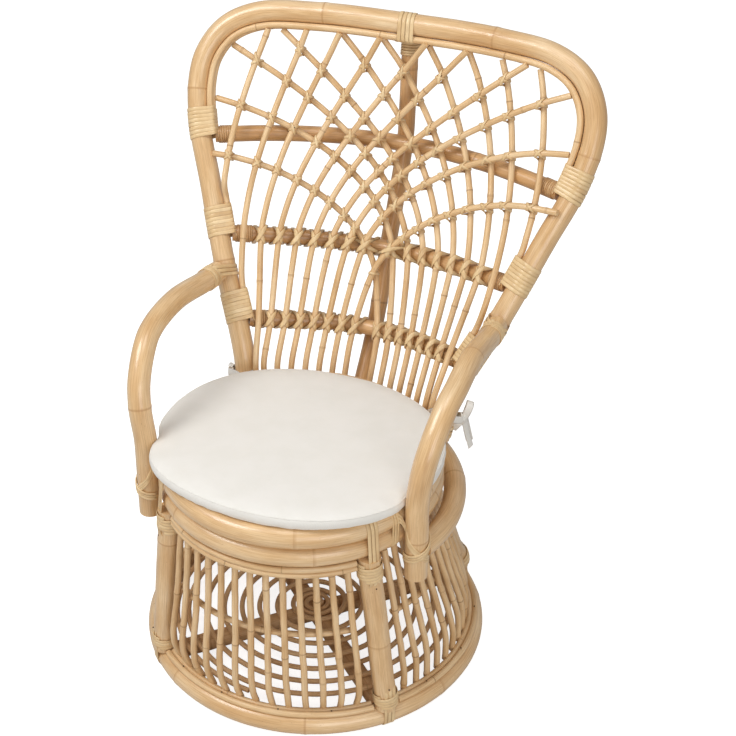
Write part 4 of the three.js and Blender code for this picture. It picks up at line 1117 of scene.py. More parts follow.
# %% Rods under the cushion
SEAT_ROD, SEAT_ROD_Z = 14, UPPER_Z - 3.5
SEAT_UNDER_Z = SEAT_ROD_Z - SEAT_ROD * FLAT + 1.5
seat_pitch = (SEAT_R * 2 - POLE) / 8
seat_room = (SEAT_R - POLE_R * FLAT) * math.cos(math.pi / 40) - GAP
seat_places = [(seat_pitch * step, SEAT_ROD_Z, False) for step in range(-3, 4)]
seat_places += [(seat_pitch * step, SEAT_UNDER_Z, True) for step in (-1.5, 1.5)]
seat_lines = []
for offset, height, turned in seat_places:
    half = math.sqrt(seat_room ** 2 - (abs(offset) + SEAT_ROD / 2) ** 2)
    ends = [(offset, reach) if turned else (reach, offset) for reach in (-half, half)]
    seat_lines.append(evenly([(across, along - SEAT_FORWARD, height) for across, along in ends], 40))
rods("rods_under_cushion", seat_lines, SEAT_ROD, ["seat_grid"], sides=14, step=0.005, node_spacing=0.16,
     node_length=0.006, swell=0.06, wander=0.0006)
print("rods under the cushion:", len(seat_lines))

# %% [markdown]
# Cane bindings
#
# The crossbars, edging rods and arms are held by flat cane wound round and round, skin side out. A turn
# of cane touches the poles it holds only where they stick out, so its path is the outline of a string
# pulled tight round all of them: for each direction, how far the bundle reaches, turned into points. The
# height rises by one pitch a turn. Real turns are not quite parallel, so each gets a small random lean.

# %% Winding
CANE_WIDTH, CANE_THICK, CANE_PITCH = 6.0, 1.1, 6.3
CANE_RISE = CANE_THICK / 2 + 0.1
OUTLINE_STEPS = 72
winding_source = np.random.default_rng(11)


def tight_outline(bundle):
    """Points and outward directions of a cane round a bundle of round sections (x, y, radius)."""
    turn = np.linspace(0, 2 * math.pi, OUTLINE_STEPS, endpoint=False)
    normal = np.column_stack([np.cos(turn), np.sin(turn)])
    side = np.column_stack([-np.sin(turn), np.cos(turn)])
    reach = np.max([normal @ (x, y) + radius + CANE_RISE for x, y, radius in bundle], axis=0)
    slope = (np.roll(reach, -1) - np.roll(reach, 1)) / (2 * (turn[1] - turn[0]))
    return normal * reach[:, None] + side * slope[:, None], normal


def wound(frame_at, bundle, turns, pitch=CANE_PITCH, wobble=0.5):
    """The path of a cane wound round a bundle, and its outward directions."""
    outline, normal = tight_outline(bundle)
    leans = winding_source.uniform(-wobble, wobble, turns + 2)
    phases = winding_source.uniform(0, 2 * math.pi, turns + 2)
    path, outward = [], []
    for step in range(turns * OUTLINE_STEPS + 1):
        number, spot = divmod(step, OUTLINE_STEPS)
        share = spot / OUTLINE_STEPS
        slip = leans[number] * math.sin(2 * math.pi * share + phases[number]) * math.sin(math.pi * share)
        centre, inward, behind = frame_at((number + share - turns / 2) * pitch + slip)
        path.append(centre + inward * outline[spot, 0] + behind * outline[spot, 1])
        outward.append(inward * normal[spot, 0] + behind * normal[spot, 1])
    return np.array(path), np.array(outward)


def hoop_frame(share, hand=1):
    """Centre, inward and behind of the hoop, by distance from a share of its length."""
    total = length_of(hoop_line)

    def frame_at(distance):
        centre, inward, along = hoop_at(share + hand * distance / total)
        return centre, inward, np.cross(along, inward)
    return frame_at


def line_frame(line, at, sideways=(1, 0, 0)):
    """The same for any line, from a distance along it; past its ends it runs on straight."""
    run = run_of(line)
    tangents = np.gradient(line, axis=0)

    def frame_at(distance):
        where = at + distance
        centre, along = (np.array([np.interp(where, run, values[:, axis]) for axis in range(3)])
                         for values in (line, tangents))
        along = unit(along)
        inward = unit(np.cross(along, sideways))
        return centre + along * (min(where, 0) + max(where - run[-1], 0)), inward, np.cross(along, inward)
    return frame_at


def cane(name, windings, replaced=(), width=CANE_WIDTH, thickness=CANE_THICK, material=cane_peel):
    """One piece of flat strips from several paths with their outward directions."""
    paths, outwards = zip(*windings)
    return grow(name, laid_cane, line_mesh(name, paths, outwards=outwards), material, "cane", replaced,
                width=width * MM, thickness=thickness * MM, sides=8)


POLE_ALONE = [(0, 0, POLE_R)]
one_turn = tight_outline(POLE_ALONE)[0] @ np.eye(2, 3)
print("a turn round a pole of", POLE, "mm is", round(length_of(one_turn), 1), "mm long")

# %% [markdown]
# Where the bindings sit
#
# Each side of the hoop has three bindings, one at the end of each crossbar, and there is one at the top
# where the back pole ends. The upper and top ones also hold the two edging rods, so their bundle has three
# round sections; the middle and lower ones hold the tucked ends of the outermost rods. A short binding
# goes round each foot of the hoop. Each end of a bar has a collar of narrow dark cane, and the top of the
# back pole has a pale one.

# %% Hoop bindings
HANDS = {"left": -1, "right": 1}
WITH_EDGING = [*POLE_ALONE, (EDGING_IN, -EDGING_OFF, ROD_R), (EDGING_IN, EDGING_OFF, ROD_R)]
WITH_TUCKED = [*POLE_ALONE, (EDGING_IN, 0, ROD_R)]
BINDING_UP, FOOT_BINDING_AT = 10, 14
SIDE_TURNS, FOOT_TURNS, TOP_TURNS = 8, 3, 4
CLOSE_PITCH = CANE_PITCH * 0.9
foot_share = FOOT_BINDING_AT / length_of(hoop_line)
for side, hand in HANDS.items():
    for place, bundle, bar in (("upper", WITH_EDGING, "top"), ("middle", WITH_TUCKED, "middle"),
                               ("lower", WITH_TUCKED, "lower")):
        rise, fall = BARS[bar]
        share = hoop_share_at(rise - fall + BINDING_UP, hand)
        windings = [wound(hoop_frame(share, -hand), bundle, SIDE_TURNS, pitch=CLOSE_PITCH)]
        cane(f"hoop_binding_{side}_{place}", windings, [f"binding_{side}_{place}"])
    share = foot_share if hand < 0 else 1 - foot_share
    cane(f"hoop_foot_binding_{side}", [wound(hoop_frame(share, -hand), POLE_ALONE, FOOT_TURNS)],
         [f"binding_{side}_hoop_foot"])
cane("hoop_binding_top", [wound(hoop_frame(0.5), WITH_EDGING, TOP_TURNS)], ["binding_top"])
print("hoop bindings done:", sum(name.startswith("hoop_") and "binding" in name for name in pieces))

# %% Collars
COLLAR_IN, POLE_COLLAR_IN = 17, 16
collars = []
for line in bar_lines.values():
    for at in (COLLAR_IN, length_of(line) - COLLAR_IN):
        collars.append(wound(line_frame(line, at, (0, 0, 1)), [(0, 0, BAR / 2)], 7, pitch=3.3, wobble=0.2))
cane("bar_collars", collars, width=3.3, thickness=1.2, material=collar_cane)
pole_top = line_frame(back_pole_line, length_of(back_pole_line) - POLE_COLLAR_IN)
cane("back_pole_collar", [wound(pole_top, [(0, 0, BACK_POLE / 2 + 0.6)], 6, pitch=4.0, wobble=0.3)],
     width=3.8, thickness=1.6)
print("collars on the bars:", len(collars))

# %% [markdown]
# Straps and crosses
#
# The other lashings go round poles that cross at an angle. Cut through the crossing along the strap and
# each pole shows as an ellipse; the strap is a string pulled tight round those ellipses. Its skin side
# turns away from whichever pole it lies on.

# %% Tight loops
LOOP_STEPS = 44


def tight_loop(origin, first, second, bodies, rise):
    """A closed strap in the plane of two directions round poles given as (centre, axis, radius)."""
    turn = np.linspace(-math.pi / 2, 1.5 * math.pi, LOOP_STEPS, endpoint=False)
    direction = np.column_stack([np.cos(turn), np.sin(turn)])
    plane, normal = np.array([first, second]), np.cross(first, second)
    furthest = np.full(LOOP_STEPS, -np.inf)
    path, outward = np.zeros((LOOP_STEPS, 3)), np.zeros((LOOP_STEPS, 3))
    for centre, axis, radius in bodies:
        axis = unit(axis)
        middle = centre + axis * np.dot(origin - centre, normal) / np.dot(axis, normal)
        in_plane = plane @ axis
        spread = direction @ np.linalg.inv(np.eye(2) - np.outer(in_plane, in_plane))
        size = np.sqrt((spread * direction).sum(axis=1))
        contact = (spread * ((radius + rise) / size)[:, None]) @ plane
        reach = direction @ (plane @ (middle - origin)) + (radius + rise) * size
        away = contact - np.outer(contact @ axis, axis)
        away /= np.linalg.norm(away, axis=1)[:, None]
        wins = reach > furthest
        furthest[wins], path[wins], outward[wins] = reach[wins], (middle + contact)[wins], away[wins]
    return np.vstack([path, path[:2]]), np.vstack([outward, outward[:2]])


def draped(places, per_span=10):
    """A strap through chosen places, each a point and the direction its skin faces there."""
    points, faces = zip(*places)
    path = smooth_line(points, per_span)
    spots = np.linspace(0, len(points) - 1, len(path))
    outward = np.column_stack([np.interp(spots, range(len(points)), column)
                               for column in np.array(faces).T])
    return path, outward / np.linalg.norm(outward, axis=1)[:, None]


def body_at(line, index, radius):
    """A pole as a loop sees it at one point of its line: the point, the direction and the radius."""
    ahead, behind = line[min(index + 1, len(line) - 1)], line[max(index - 1, 0)]
    return line[index], unit(ahead - behind), radius


def crossed(front, rear, slants, rises):
    """Slanted loops over a front rod and round a rear pole."""
    (front_point, front_axis, _), (rear_point, rear_axis, _) = front, rear
    outward = unit(np.cross(front_axis, rear_axis))
    outward = outward * (1 if np.dot(outward, front_point - rear_point) > 0 else -1)
    across = np.cross(outward, front_axis)
    turns = [math.radians(slant) for slant in slants]
    return [tight_loop(rear_point, front_axis * math.cos(turn) + across * math.sin(turn), outward,
                       [front, rear], rise) for turn, rise in zip(turns, rises)]


ALONG_X, ALONG_Z = np.array([1.0, 0, 0]), np.array([0, 0, 1.0])
two_rods = [(np.zeros(3), (0, 1, 0), ROD_R), (ALONG_Z * ROD, (0, 1, 0), ROD_R)]
test_strap = tight_loop(np.zeros(3), ALONG_X, ALONG_Z, two_rods, CANE_RISE)[0]
print("a strap round two rods side by side is", round(length_of(test_strap)), "mm long")

# %% [markdown]
# Knots of the net and crosses on the bars
#
# A thin cane knot ties each crossing of two fan rods that stands clear of the edging. Where two rods cross
# steeply the knot has a strand each way, elsewhere one. A rod that passes the middle or the lower bar is
# tied to it with a cross of wider cane. The upper bar only leans on the net and has no lashings.

# %% Knots
KNOT_WIDTH, STEEP = 4.5, 60
knots = []
for left, right, one, two in crossings:
    front, rear = body_at(fan_lines[-1, left], one, ROD_R), body_at(fan_lines[1, right], two, ROD_R)
    alike = float(np.dot(front[1], rear[1]))
    spread = math.degrees(math.acos(min(abs(alike), 1)))
    outward = unit(np.cross(front[1], rear[1]))
    tilt = 1 if np.dot(np.cross(outward, front[1]), rear[1]) * alike > 0 else -1
    if np.dot(outward, front[0] - rear[0]) < 0:
        tilt = -tilt
    slants = [tilt * (spread / 2 - 90), tilt * spread / 2]
    knots += crossed(front, rear, slants if spread > STEEP else slants[:1], (0.35, 0.8))
cane("net_knots", knots, width=KNOT_WIDTH, thickness=1.4)
print("knots:", len(knots), "strands")

# %% Crosses
CROSS_WIDTH, CROSS_SLANT, CROSS_REACH = 7.0, 32, 31
crosses = []
for rod_points in fan_lines.values():
    for place in ("middle", "lower"):
        bar = bar_lines[place]
        one, two, gap = nearest_pair(rod_points, bar)
        if gap <= CROSS_REACH and 1 < one < len(rod_points) - 2 and 3 < two < len(bar) - 4:
            crosses += crossed(body_at(rod_points, one, ROD_R), body_at(bar, two, BAR / 2),
                               (CROSS_SLANT, -CROSS_SLANT), (0.65, 1.7))
cane("bar_crosses", crosses, width=CROSS_WIDTH, thickness=1.7)
print("crosses:", len(crosses), "strands")

# %% [markdown]
# Lashings of the arms
#
# An arm is wound with cane where it meets the hoop, and three more strands go round the hoop. At the seat
# it is crossed on its outer face by strands that start on the top ring and under the lower ring, and
# three straps close both rings beside it.

# %% Arm lashings
ARM_WIND_AT, ARM_WIND_PITCH = 27.0, 5.6
ARM_STRANDS = (-5.6, 0.2, 6.0)
FOOT_STRANDS = (-4.1, 0.0, 4.1)
RING_STRAPS = (18.6, 22.9, 27.2)
# A strand's way over the arm's outer face: degrees round the arm from straight out, height, and rise.
UNDER_ROUTE = [(128, 334, 0.7), (90, 312, 0.7), (46, 297, 0.7), (0, 285, 0.7), (-45, 278, 0.7),
               (-95, 275, 0.7), (-140, 273, -2)]
OVER_ROUTE = [(150, 282, -2), (128, 284, 1.7), (90, 286, 1.8), (46, 290, 1.9), (0, 297, 1.9),
              (-45, 307, 1.8), (-90, 322, 1.7), (-128, 340, 1.7)]


def arm_top_lashing(line):
    """Turns round the arm's upper end and strands from there round the hoop."""
    turns = wound(line_frame(line, ARM_WIND_AT), POLE_ALONE, 4, pitch=ARM_WIND_PITCH)
    nearest = int(np.argmin(np.linalg.norm(hoop_line - line[0], axis=1)))
    hoop_axis = hoop_tangent[nearest]
    forward = line[12] - line[0]
    forward = unit(forward - hoop_axis * np.dot(forward, hoop_axis))
    hoop_body = (hoop_line[nearest], hoop_axis, POLE_R)
    loops = []
    for offset in ARM_STRANDS:
        shift = hoop_axis * offset
        arm_body = (line[0] + forward * 12 + shift, hoop_axis, math.sqrt(POLE_R ** 2 - offset ** 2))
        loops.append(tight_loop(hoop_line[nearest] + shift, np.cross(hoop_axis, forward), forward,
                                [hoop_body, arm_body], rise=1.0))
    return [turns, *loops]


def arm_foot_lashing(hand):
    """Crossed strands over the arm's outer face and straps round both seat rings."""
    middle = np.array([hand * arm_foot[0], arm_foot[1], 0.0])
    away = unit(middle + [0, SEAT_FORWARD, 0])
    front = np.array([away[1], -away[0], 0.0]) * hand
    up = ALONG_Z

    def on_arm(turn, height, rise):
        face = away * math.cos(math.radians(turn)) + front * math.sin(math.radians(turn))
        return middle + face * (POLE_R + rise) + up * height, face

    def on_ring(along, out, height, face):
        return middle + front * along + away * (out - POLE_R * 2 - GAP) + up * height, face

    strands = []
    for shift in FOOT_STRANDS:
        strands.append(draped([
            on_ring(21, -15, 353 + shift, unit(up - away)), on_ring(20.5 + shift, 2, 359, up),
            on_ring(20, 12, 352 + shift, unit(up + away)),
            *(on_arm(turn, height + shift, rise) for turn, height, rise in UNDER_ROUTE)]))
        strands.append(draped([
            *(on_arm(turn, height + shift, rise) for turn, height, rise in OVER_ROUTE),
            on_ring(-20, 12, 353 + shift, unit(up + away)), on_ring(-20.5 + shift, 2, 359.2, up),
            on_ring(-21, -15, 353 + shift, unit(up - away))]))
    for along in RING_STRAPS:
        ring_middle = middle - away * (POLE_R * 2 + GAP + along ** 2 / (2 * SEAT_R))
        rings = [(ring_middle + up * height, front, POLE_R) for height in (UPPER_Z, LOWER_Z)]
        strands.append(tight_loop(rings[0][0] + front * along, away, up, rings, rise=0.7))
    return strands


for side, hand in HANDS.items():
    cane(f"arm_top_lashing_{side}", arm_top_lashing(arm_lines[side]), [f"binding_{side}_arm_top"], width=5.2)
    cane(f"arm_foot_lashing_{side}", arm_foot_lashing(hand), [f"binding_{side}_arm_foot"], width=4.0,
         thickness=1.8)
print("arm lashings done:", sum(name.startswith("arm_") for name in pieces))

# %% [markdown]
# Straps of the posts
#
# Each post hangs from three strands that go over both seat rings, and its top is wound with five turns
# over their ends. At the floor four turns hold three short strands that pass round the ring.

# %% Post straps
STRAND_STEP = 5.7
TOP_WIND_AT, FOOT_WIND_AT = 20, 19


def hung(near, far, hub, rings):
    """Three strands from a post's end round the rings beside it; far is a point further along the post."""
    away = unit((near - hub) * (1, 1, 0))
    tangent = np.cross(away, ALONG_Z)
    loops = []
    for offset in (-STRAND_STEP, 0, STRAND_STEP):
        bodies = [(centre + tangent * offset, tangent, radius) for centre, radius in rings]
        bodies.append((near + (far - near) * 0.4 + tangent * offset, tangent,
                       math.sqrt(POLE_R ** 2 - offset ** 2)))
        loops.append(tight_loop(bodies[0][0], away, ALONG_Z, bodies, rise=0.7))
    return loops


straps = []
for line in post_lines.values():
    top_turn = math.degrees(math.atan2(line[0][0], -(line[0][1] + SEAT_FORWARD)))
    foot_turn = math.degrees(math.atan2(line[-1][0], -line[-1][1]))
    seat_rings = [(seat_point(top_turn, SEAT_R, height), POLE_R) for height in (UPPER_Z, LOWER_Z)]
    straps += hung(line[4], line[12], (0, -SEAT_FORWARD, 0), seat_rings)
    straps += hung(line[-5], line[-13], (0, 0, 0),
                   [(base_point(foot_turn, BASE_R, FLOOR_RING_Z), FLOOR_RING / 2)])
    for at, turns in ((TOP_WIND_AT, 5), (length_of(line) - FOOT_WIND_AT, 4)):
        straps.append(wound(line_frame(line, at), [(0, 0, POLE_R + 0.9)], turns, pitch=5.0, wobble=0.3))
cane("post_straps", straps, width=5.4)
print("post straps:", len(straps), "strands and windings")

# %% [markdown]
# Pins
#
# The ends of the cane are held by small steel pins. A short tree sets a head on each point; the points
# lie on the skin of the poles, and about half of the knots have one. The pins are of plain steel that has
# darkened, so they are brown to the eye and hardly shine.

# %% Pins
RUST_SIZE, PIN_R = 1.5, 1.15
KNOTS_PINNED, PIN_STRAY = 0.5, 1.5
STRIP_PIN_ANGLES = (-31, -12, 9, 27, 63, 84, 107, -70)


def pin_material():
    """Dark steel with rust in small spots."""
    material, tree, shader = new_material("darkened_steel_pin")
    place = add_node(tree, "ShaderNodeTexCoord", output="Object")
    rust = pattern(tree, place, RUST_SIZE, RUST_SIZE, 2.0)
    colour = add_node(tree, "ShaderNodeValToRGB", {"Fac": rust}, stops=[(0.4, "#4A3A2E"), (0.6, "#7A5A40")])
    feed(tree, shader, {"Base Color": colour, "Metallic": 0.6, "Roughness": 0.5})
    return material


def pin_tree():
    """A small round head on every point."""
    tree, value = open_tree("set_pins", {"Radius": 0.001})
    head = add_node(tree, "GeometryNodeMeshIcoSphere", {"Subdivisions": 2, "Radius": value["Radius"]})
    points = add_node(tree, "GeometryNodeMeshToPoints", {"Mesh": value["Geometry"]})
    placed = add_node(tree, "GeometryNodeInstanceOnPoints", {"Points": points, "Instance": head})
    return close_tree(tree, placed, value["Material"])


pin_spots = []
pin_source = np.random.default_rng(5)
for left, right, one, two in crossings:
    if pin_source.uniform() < KNOTS_PINNED:
        front, rear = fan_lines[-1, left][one], fan_lines[1, right][two]
        stray = pin_source.uniform(-PIN_STRAY, PIN_STRAY, 3) * (1, 0, 1)
        pin_spots.append(front + unit(front - rear) * (ROD_R - 0.2) + stray)
for line in post_lines.values():
    outward = unit(line[10] * (1, 1, 0) + (0, SEAT_FORWARD * 0.6, 0))
    pin_spots += [line[10] + outward * POLE_R, line[50] + outward * (POLE_R + 2.2)]
for side, hand in HANDS.items():
    joint_at = int(np.argmin(np.linalg.norm(hoop_line - arm_lines[side][0], axis=1)))
    _, inward, _ = hoop_at(joint_at / HOOP_STEPS)
    pin_spots.append(hoop_line[joint_at] - unit(BACK_NORMAL - inward * 0.5) * (POLE_R + 1.6))
    pin_spots.append(fan_lines[hand, 1][6] - BACK_NORMAL * ROD_R)
strip_pin = (SPOKE_FOOT_R + SPOKE / 2 + STRIP, STRIP_FOOT_Z + STRIP / 2 + 1.2)
pin_spots += [base_point(angle, *strip_pin) for angle in STRIP_PIN_ANGLES]
grow("steel_pins", pin_tree(), line_mesh("steel_pins", [[spot] for spot in pin_spots]), pin_material(),
     "cane", radius=PIN_R * MM)
print("pins:", len(pin_spots))

# %% [markdown]
# Cushion
#
# The cushion is a boxed disc of firm filling in a cotton cover. Its outline is a little squarer than an
# ellipse, its front edge stands a little higher than its rear one, it gives way where the arms press on it
# and it swells a little at its left front. The cover is first drawn as rings of points, by angle and by
# distance in from the edge, because that keeps the measured outline.

# %% Cushion form
HALF_WIDE, HALF_DEEP, SQUARENESS = 206.5, 184.5, 2.16
CUSHION_AT = np.array([1.2, -55.0, SEAT_TOP + 0.6])
EDGE_FRONT, EDGE_REAR, CROWN, CROWN_DIMPLE = 20.5, 13.0, 7.5, 3.0
CUSHION_STEPS = 128
# How deep each arm presses in and over what angle, and the same for the bulge, with its own angle.
DENT, DENT_SPREAD = 8.5, 0.13
BULGE, BULGE_SPREAD, BULGE_AT = 9.0, 0.33, -0.87
# Each ring of the cover: distance in from the edge, share of the edge's height and share of the crown.
PROFILE = [(60, 0, 0), (25, 0, 0), (9, 0, 0), (2.5, 0.1, 0), (0.3, 0.35, 0), (0.6, 0.62, 0), (1.6, 0.88, 0),
           (4.5, 1, 0), (10, 1, 0.16), (22, 1, 0.36), (45, 1, 0.62), (80, 1, 0.84), (125, 1, 0.97)]
arm_at_cushion = math.atan2(arm_foot[0], CUSHION_AT[1] - arm_foot[1])


def give_at(turn):
    """How far the cushion's edge lies inside its even outline, by angle from the front."""
    turn = math.atan2(math.sin(turn), math.cos(turn))
    dent = DENT * math.exp(-((abs(turn) - arm_at_cushion) / DENT_SPREAD) ** 2)
    return dent - BULGE * math.exp(-((turn - BULGE_AT) / BULGE_SPREAD) ** 2)


def cushion_place(turn, inset, edge_share, crown_share):
    """A point of the cushion by angle from the front, distance in from its edge, and height shares."""
    across, ahead = math.sin(turn), math.cos(turn)
    power = (abs(across) ** SQUARENESS + abs(ahead) ** SQUARENESS) ** (-1 / SQUARENESS)
    give = inset + give_at(turn)
    depth = -(HALF_DEEP - give) * power * ahead
    edge = EDGE_REAR + (EDGE_FRONT - EDGE_REAR) * (HALF_DEEP - depth) / (2 * HALF_DEEP)
    return CUSHION_AT + [(HALF_WIDE - give) * power * across, depth, edge * edge_share + CROWN * crown_share]


def cushion_cover():
    """The cover as a closed mesh of rings between two middle points."""
    turns = np.linspace(0, 2 * math.pi, CUSHION_STEPS, endpoint=False)
    places = [cushion_place(turn, *ring) for ring in PROFILE for turn in turns]
    low, high = len(places), len(places) + 1
    crown = cushion_place(0, 0, 1, 1)[2] - CROWN_DIMPLE
    places += [CUSHION_AT, CUSHION_AT * (1, 1, 0) + (0, 0, crown)]
    last = (len(PROFILE) - 1) * CUSHION_STEPS
    pairs = [(step, (step + 1) % CUSHION_STEPS) for step in range(CUSHION_STEPS)]
    faces = []
    for ring in range(0, last, CUSHION_STEPS):
        above = ring + CUSHION_STEPS
        faces += [(ring + step, ring + after, above + after, above + step) for step, after in pairs]
    for step, after in pairs:
        faces += [(after, step, low), (last + step, last + after, high)]
    mesh = bpy.data.meshes.new("cushion_cover")
    mesh.from_pydata(to_frame(places).tolist(), [], faces)
    return mesh


cover_mesh = cushion_cover()
print("cover drawn with", len(cover_mesh.polygons), "faces")

# %% [markdown]
# Cloth over filling
#
# Even rings look machined. So the cover is remeshed at one even size and a cloth simulation with a light
# inner pressure rounds it over its filling. The change is capped so that the cushion keeps its outline, its
# underside stays on the rings, and points that would lie in an arm are moved out of it.

# %% Cushion cloth
VOXEL, SWELL_LIMIT, SWELL_SHARE, ARM_ROOM = 5.0, 3.0, 0.8, 0.8
CLOTH_FRAMES = 20


def settled(name, mesh, kind, **settings):
    """The mesh as one modifier leaves it."""
    holder = in_scene(name, mesh)
    modifier = holder.modifiers.new(kind.lower(), kind)
    for label, value in settings.items():
        setattr(modifier, label, value)
    return made_plain(holder, name)


def coordinates(mesh):
    """Vertex places of a mesh as an array."""
    places = np.empty(len(mesh.vertices) * 3)
    mesh.vertices.foreach_get("co", places)
    return places.reshape(-1, 3)


def blown_up(mesh):
    """Places of the cover after some frames of cloth under a light inner pressure."""
    holder = in_scene("cushion_cloth", mesh)
    cloth = holder.modifiers.new("cloth", "CLOTH")
    cloth.settings.quality = 5
    cloth.settings.use_pressure = True
    cloth.settings.uniform_pressure_force = 4
    cloth.settings.tension_stiffness = cloth.settings.compression_stiffness = 25
    cloth.settings.bending_stiffness = 3
    cloth.settings.effector_weights.gravity = 0
    cloth.collision_settings.use_collision = False
    for step in range(1, CLOTH_FRAMES + 1):
        bpy.context.scene.frame_set(step)
    graph = bpy.context.evaluated_depsgraph_get()
    result = coordinates(holder.evaluated_get(graph).data)
    bpy.context.scene.frame_set(1)
    bpy.data.objects.remove(holder)
    return result


cover = settled("cushion_voxels", cover_mesh, "REMESH", mode="VOXEL", voxel_size=VOXEL * MM)
start = coordinates(cover)
change = blown_up(cover) - start
size = np.linalg.norm(change, axis=1)[:, None]
change *= np.minimum(SWELL_LIMIT * MM / np.maximum(size, 1e-9), 1) * SWELL_SHARE
places = start + change
places[:, 2] = np.maximum(places[:, 2], to_frame(CUSHION_AT)[2])
arm_room = (POLE_R + ARM_ROOM) * MM
for hand in HANDS.values():
    axis = to_frame((hand * arm_foot[0], arm_foot[1], 0))[:2]
    offset = places[:, :2] - axis
    near = np.linalg.norm(offset, axis=1)
    inside = near < arm_room
    places[inside, :2] = axis + offset[inside] / near[inside, None] * arm_room
cover.vertices.foreach_set("co", places.ravel())
print("largest change", round(float(np.linalg.norm(change, axis=1).max()) / MM, 2), "mm")

# %% Cushion piece
cushion_mesh = settled("cushion_smooth", cover, "SUBSURF", levels=1, render_levels=1)
cushion_mesh.polygons.foreach_set("use_smooth", [True] * len(cushion_mesh.polygons))
cushion_mesh.materials.clear()
cushion_mesh.materials.append(cotton)
cushion = keep("round_seat_cushion", cushion_mesh, ["cushion"])
cushion_size = np.ptp(coordinates(cushion_mesh), axis=0) / MM
print("cushion of", len(cushion_mesh.polygons), "faces,", np.round(cushion_size), "mm")

# %% [markdown]
# The seam of the cover
#
# The top panel of the cover is sewn to the boxed edge. The seam is found on the finished cushion by
# looking at it from outside and above, and a thin raised line of stitching is laid there.

# %% Cushion seam
# Distance in from the edge, share of the edge's height and share of the crown, as for a ring of the cover.
SEAM_PLACE = (3.0, 0.93, 0)
SEAM_DIAMETER = 1.5
SEAM_LOOK = dict(sides=6, step=0.004, node_spacing=5.0, node_length=0.001, swell=0.0, wander=0.0)
seam_at = []
for turn in np.linspace(0, 2 * math.pi, 160, endpoint=False):
    goal = to_frame(cushion_place(turn, *SEAM_PLACE))
    look = unit(to_frame(CUSHION_AT + [0, 0, -60]) - goal)
    hit, spot, _, _ = cushion.ray_cast(goal - look * 0.05, look)
    seam_at.append(((np.array(spot) if hit else goal) - HUB) / MM)
rods("cushion_seam", [seam_at], SEAM_DIAMETER, material=cotton, slot="cotton_canvas", closed=True,
     **SEAM_LOOK)
print("the seam is", round(length_of(np.array(seam_at))), "mm long")

# %% [markdown]
# Ties
#
# Two tapes of the same cotton are sewn under the rear of the cushion and tied in bows outside the legs of
# the hoop.

# %% Tie bows
TAPE_WIDTH, TAPE_THICK = 11.0, 0.9
# Each place of a strand: where it lies on the right side, and the way the tape's face looks there.
TIE_STRANDS = [
    [(143, 68, 366, 0.2, -0.6, 0.7), (158, 84, 360, 0.2, -0.9, 0.3), (176, 100, 350, 0.7, -0.7, 0.1),
     (184, 116, 341, 1, -0.1, 0), (184, 127, 338, 1, 0.2, 0)],
    [(184, 127, 338, 1, 0.2, 0), (178, 136, 334, 0.5, 0.9, 0), (166, 139, 331, -0.1, 1, 0),
     (150, 128, 338, -0.9, 0.5, 0), (141, 108, 350, -1, 0.2, 0), (137, 84, 362, -0.8, 0, 0.5)],
    [(184.5, 125, 339, 0.4, -0.8, 0.4), (189, 124, 350, 0.3, -0.8, 0.5), (192, 127, 361, 0.3, -0.6, 0.7),
     (190.5, 134, 364, 0.1, 0.6, 0.8), (188, 136, 354, -0.3, 0.8, -0.4), (185, 129, 341, -0.4, 0.8, -0.4)],
    [(184, 124, 338, 0.4, -0.8, 0.4), (177, 120, 330, 0.3, -0.8, 0.5), (169, 121, 318, 0.2, -0.9, 0.2),
     (167, 127, 314, -0.1, -0.1, -1), (170, 133, 321, -0.3, 0.8, -0.4), (184, 129, 338, -0.3, 0.8, -0.4)],
    [(185, 126, 338, 0.9, -0.5, 0), (187, 126, 325, 0.9, -0.4, 0.2), (190, 128, 308, 0.95, -0.3, 0.1),
     (195, 131, 286, 0.9, -0.4, 0.2)],
    [(184, 128, 337, 0.4, -0.9, 0), (186, 132, 322, 0.5, -0.8, 0.1), (188, 137, 304, 0.3, -0.95, 0),
     (190, 140, 291, 0.4, -0.9, 0.1)],
    [(181, 123, 345, 0.3, -0.9, 0.3), (187, 123, 338, 1, -0.3, 0), (183, 125, 330, 0.2, -0.6, -0.8),
     (181, 131, 338, -0.8, 0.6, 0), (183, 128, 346, -0.2, 0.6, 0.8), (185, 123, 343, 0.5, -0.8, 0.3)],
]


def tie(name, hand, strands, replaced):
    """One tie from its strands, mirrored for the left hand; the length of its tape."""
    laid = [draped([(np.array([hand * x, y, z]), unit((hand * a, b, c))) for x, y, z, a, b, c in strand], 8)
            for strand in strands]
    paths, faces = zip(*laid)
    piece = grow(name, laid_cane, line_mesh(name, paths, outwards=faces), cotton, "cotton_canvas", replaced,
                 width=TAPE_WIDTH * MM, thickness=TAPE_THICK * MM, sides=8)
    run = sum(length_of(path) for path in paths)
    return run


smaller_bow = [TIE_STRANDS[number] for number in (0, 1, 3, 4, 6)]
tape = [tie("tie_bow_right", 1, TIE_STRANDS, ["tie_right"]),
        tie("tie_bow_left", -1, smaller_bow, ["tie_left"])]
print("tape in the ties, mm:", [round(run) for run in tape])

# %% [markdown]
# Studio
#
# A pale seamless floor, a white surround that the camera sees, and three large soft lamps. The lamps are
# kept at a level at which a colour renders about as it is written.

# %% Floor
FLOOR_SIZE, FLOOR_LIFT = 8.0, 0.8


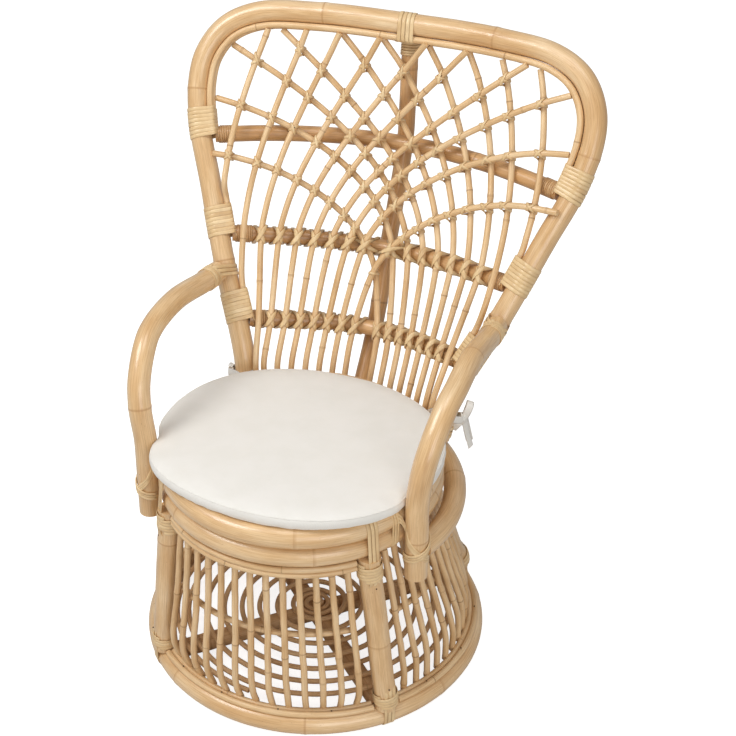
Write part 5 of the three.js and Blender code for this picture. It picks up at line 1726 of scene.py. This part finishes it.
def studio_floor():
    """A large pale floor that the camera sees almost white but that keeps the chair's shadow."""
    mesh = bpy.data.meshes.new("studio_floor")
    half = FLOOR_SIZE / 2
    mesh.from_pydata([(-half, -half, 0), (half, -half, 0), (half, half, 0), (-half, half, 0)], [],
                     [(0, 1, 2, 3)])
    material, tree, shader = new_material("matt_white_paper")
    seen_directly = add_node(tree, "ShaderNodeLightPath", output="Is Camera Ray")
    lift = add_node(tree, "ShaderNodeMath", {0: seen_directly, 1: FLOOR_LIFT}, operation="MULTIPLY")
    feed(tree, shader, {"Base Color": linear("#D2D0CD"), "Roughness": 0.95,
                        "Emission Color": linear("#FFFFFF"), "Emission Strength": lift})
    mesh.materials.append(material)
    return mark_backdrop(in_scene("studio_floor", mesh))


studio_floor()
print("the floor is", FLOOR_SIZE, "m wide")

# %% Lamps and surround
LAMP_TARGET = np.array([0, 0, 0.4])
# Each lamp: where it hangs, its width in metres and its power in watts.
LAMPS = {"key_softbox": ((-1.3, -1.2, 2.6), 1.1, 33), "top_softbox": ((0.2, -0.5, 2.9), 1.1, 12),
         "fill_softbox": ((1.7, -2.3, 1.2), 1.6, 23)}
SURROUND_LIGHT, SURROUND_SEEN = 0.42, 1.0
for name, (place, size, watts) in LAMPS.items():
    lamp_data = bpy.data.lights.new(name, "AREA")
    lamp_data.size = size
    lamp_data.energy = watts
    in_scene(name, lamp_data).matrix_world = facing(place, place - LAMP_TARGET)

world = bpy.data.worlds.new("studio_surround")
bpy.context.scene.world = world
world.use_nodes = True
surround = world.node_tree
surround.nodes.clear()
seen = add_node(surround, "ShaderNodeLightPath").node.outputs
shown = add_node(surround, "ShaderNodeMath", {0: seen["Is Camera Ray"], 1: seen["Is Transmission Ray"]},
                 operation="MAXIMUM")
strength = add_node(surround, "ShaderNodeMapRange",
                    {"Value": shown, "To Min": SURROUND_LIGHT, "To Max": SURROUND_SEEN})
background = add_node(surround, "ShaderNodeBackground", {"Strength": strength, "Color": linear("#FFFFFF")})
add_node(surround, "ShaderNodeOutputWorld", {"Surface": background})
print("lamps:", [item.name for item in bpy.data.lights])
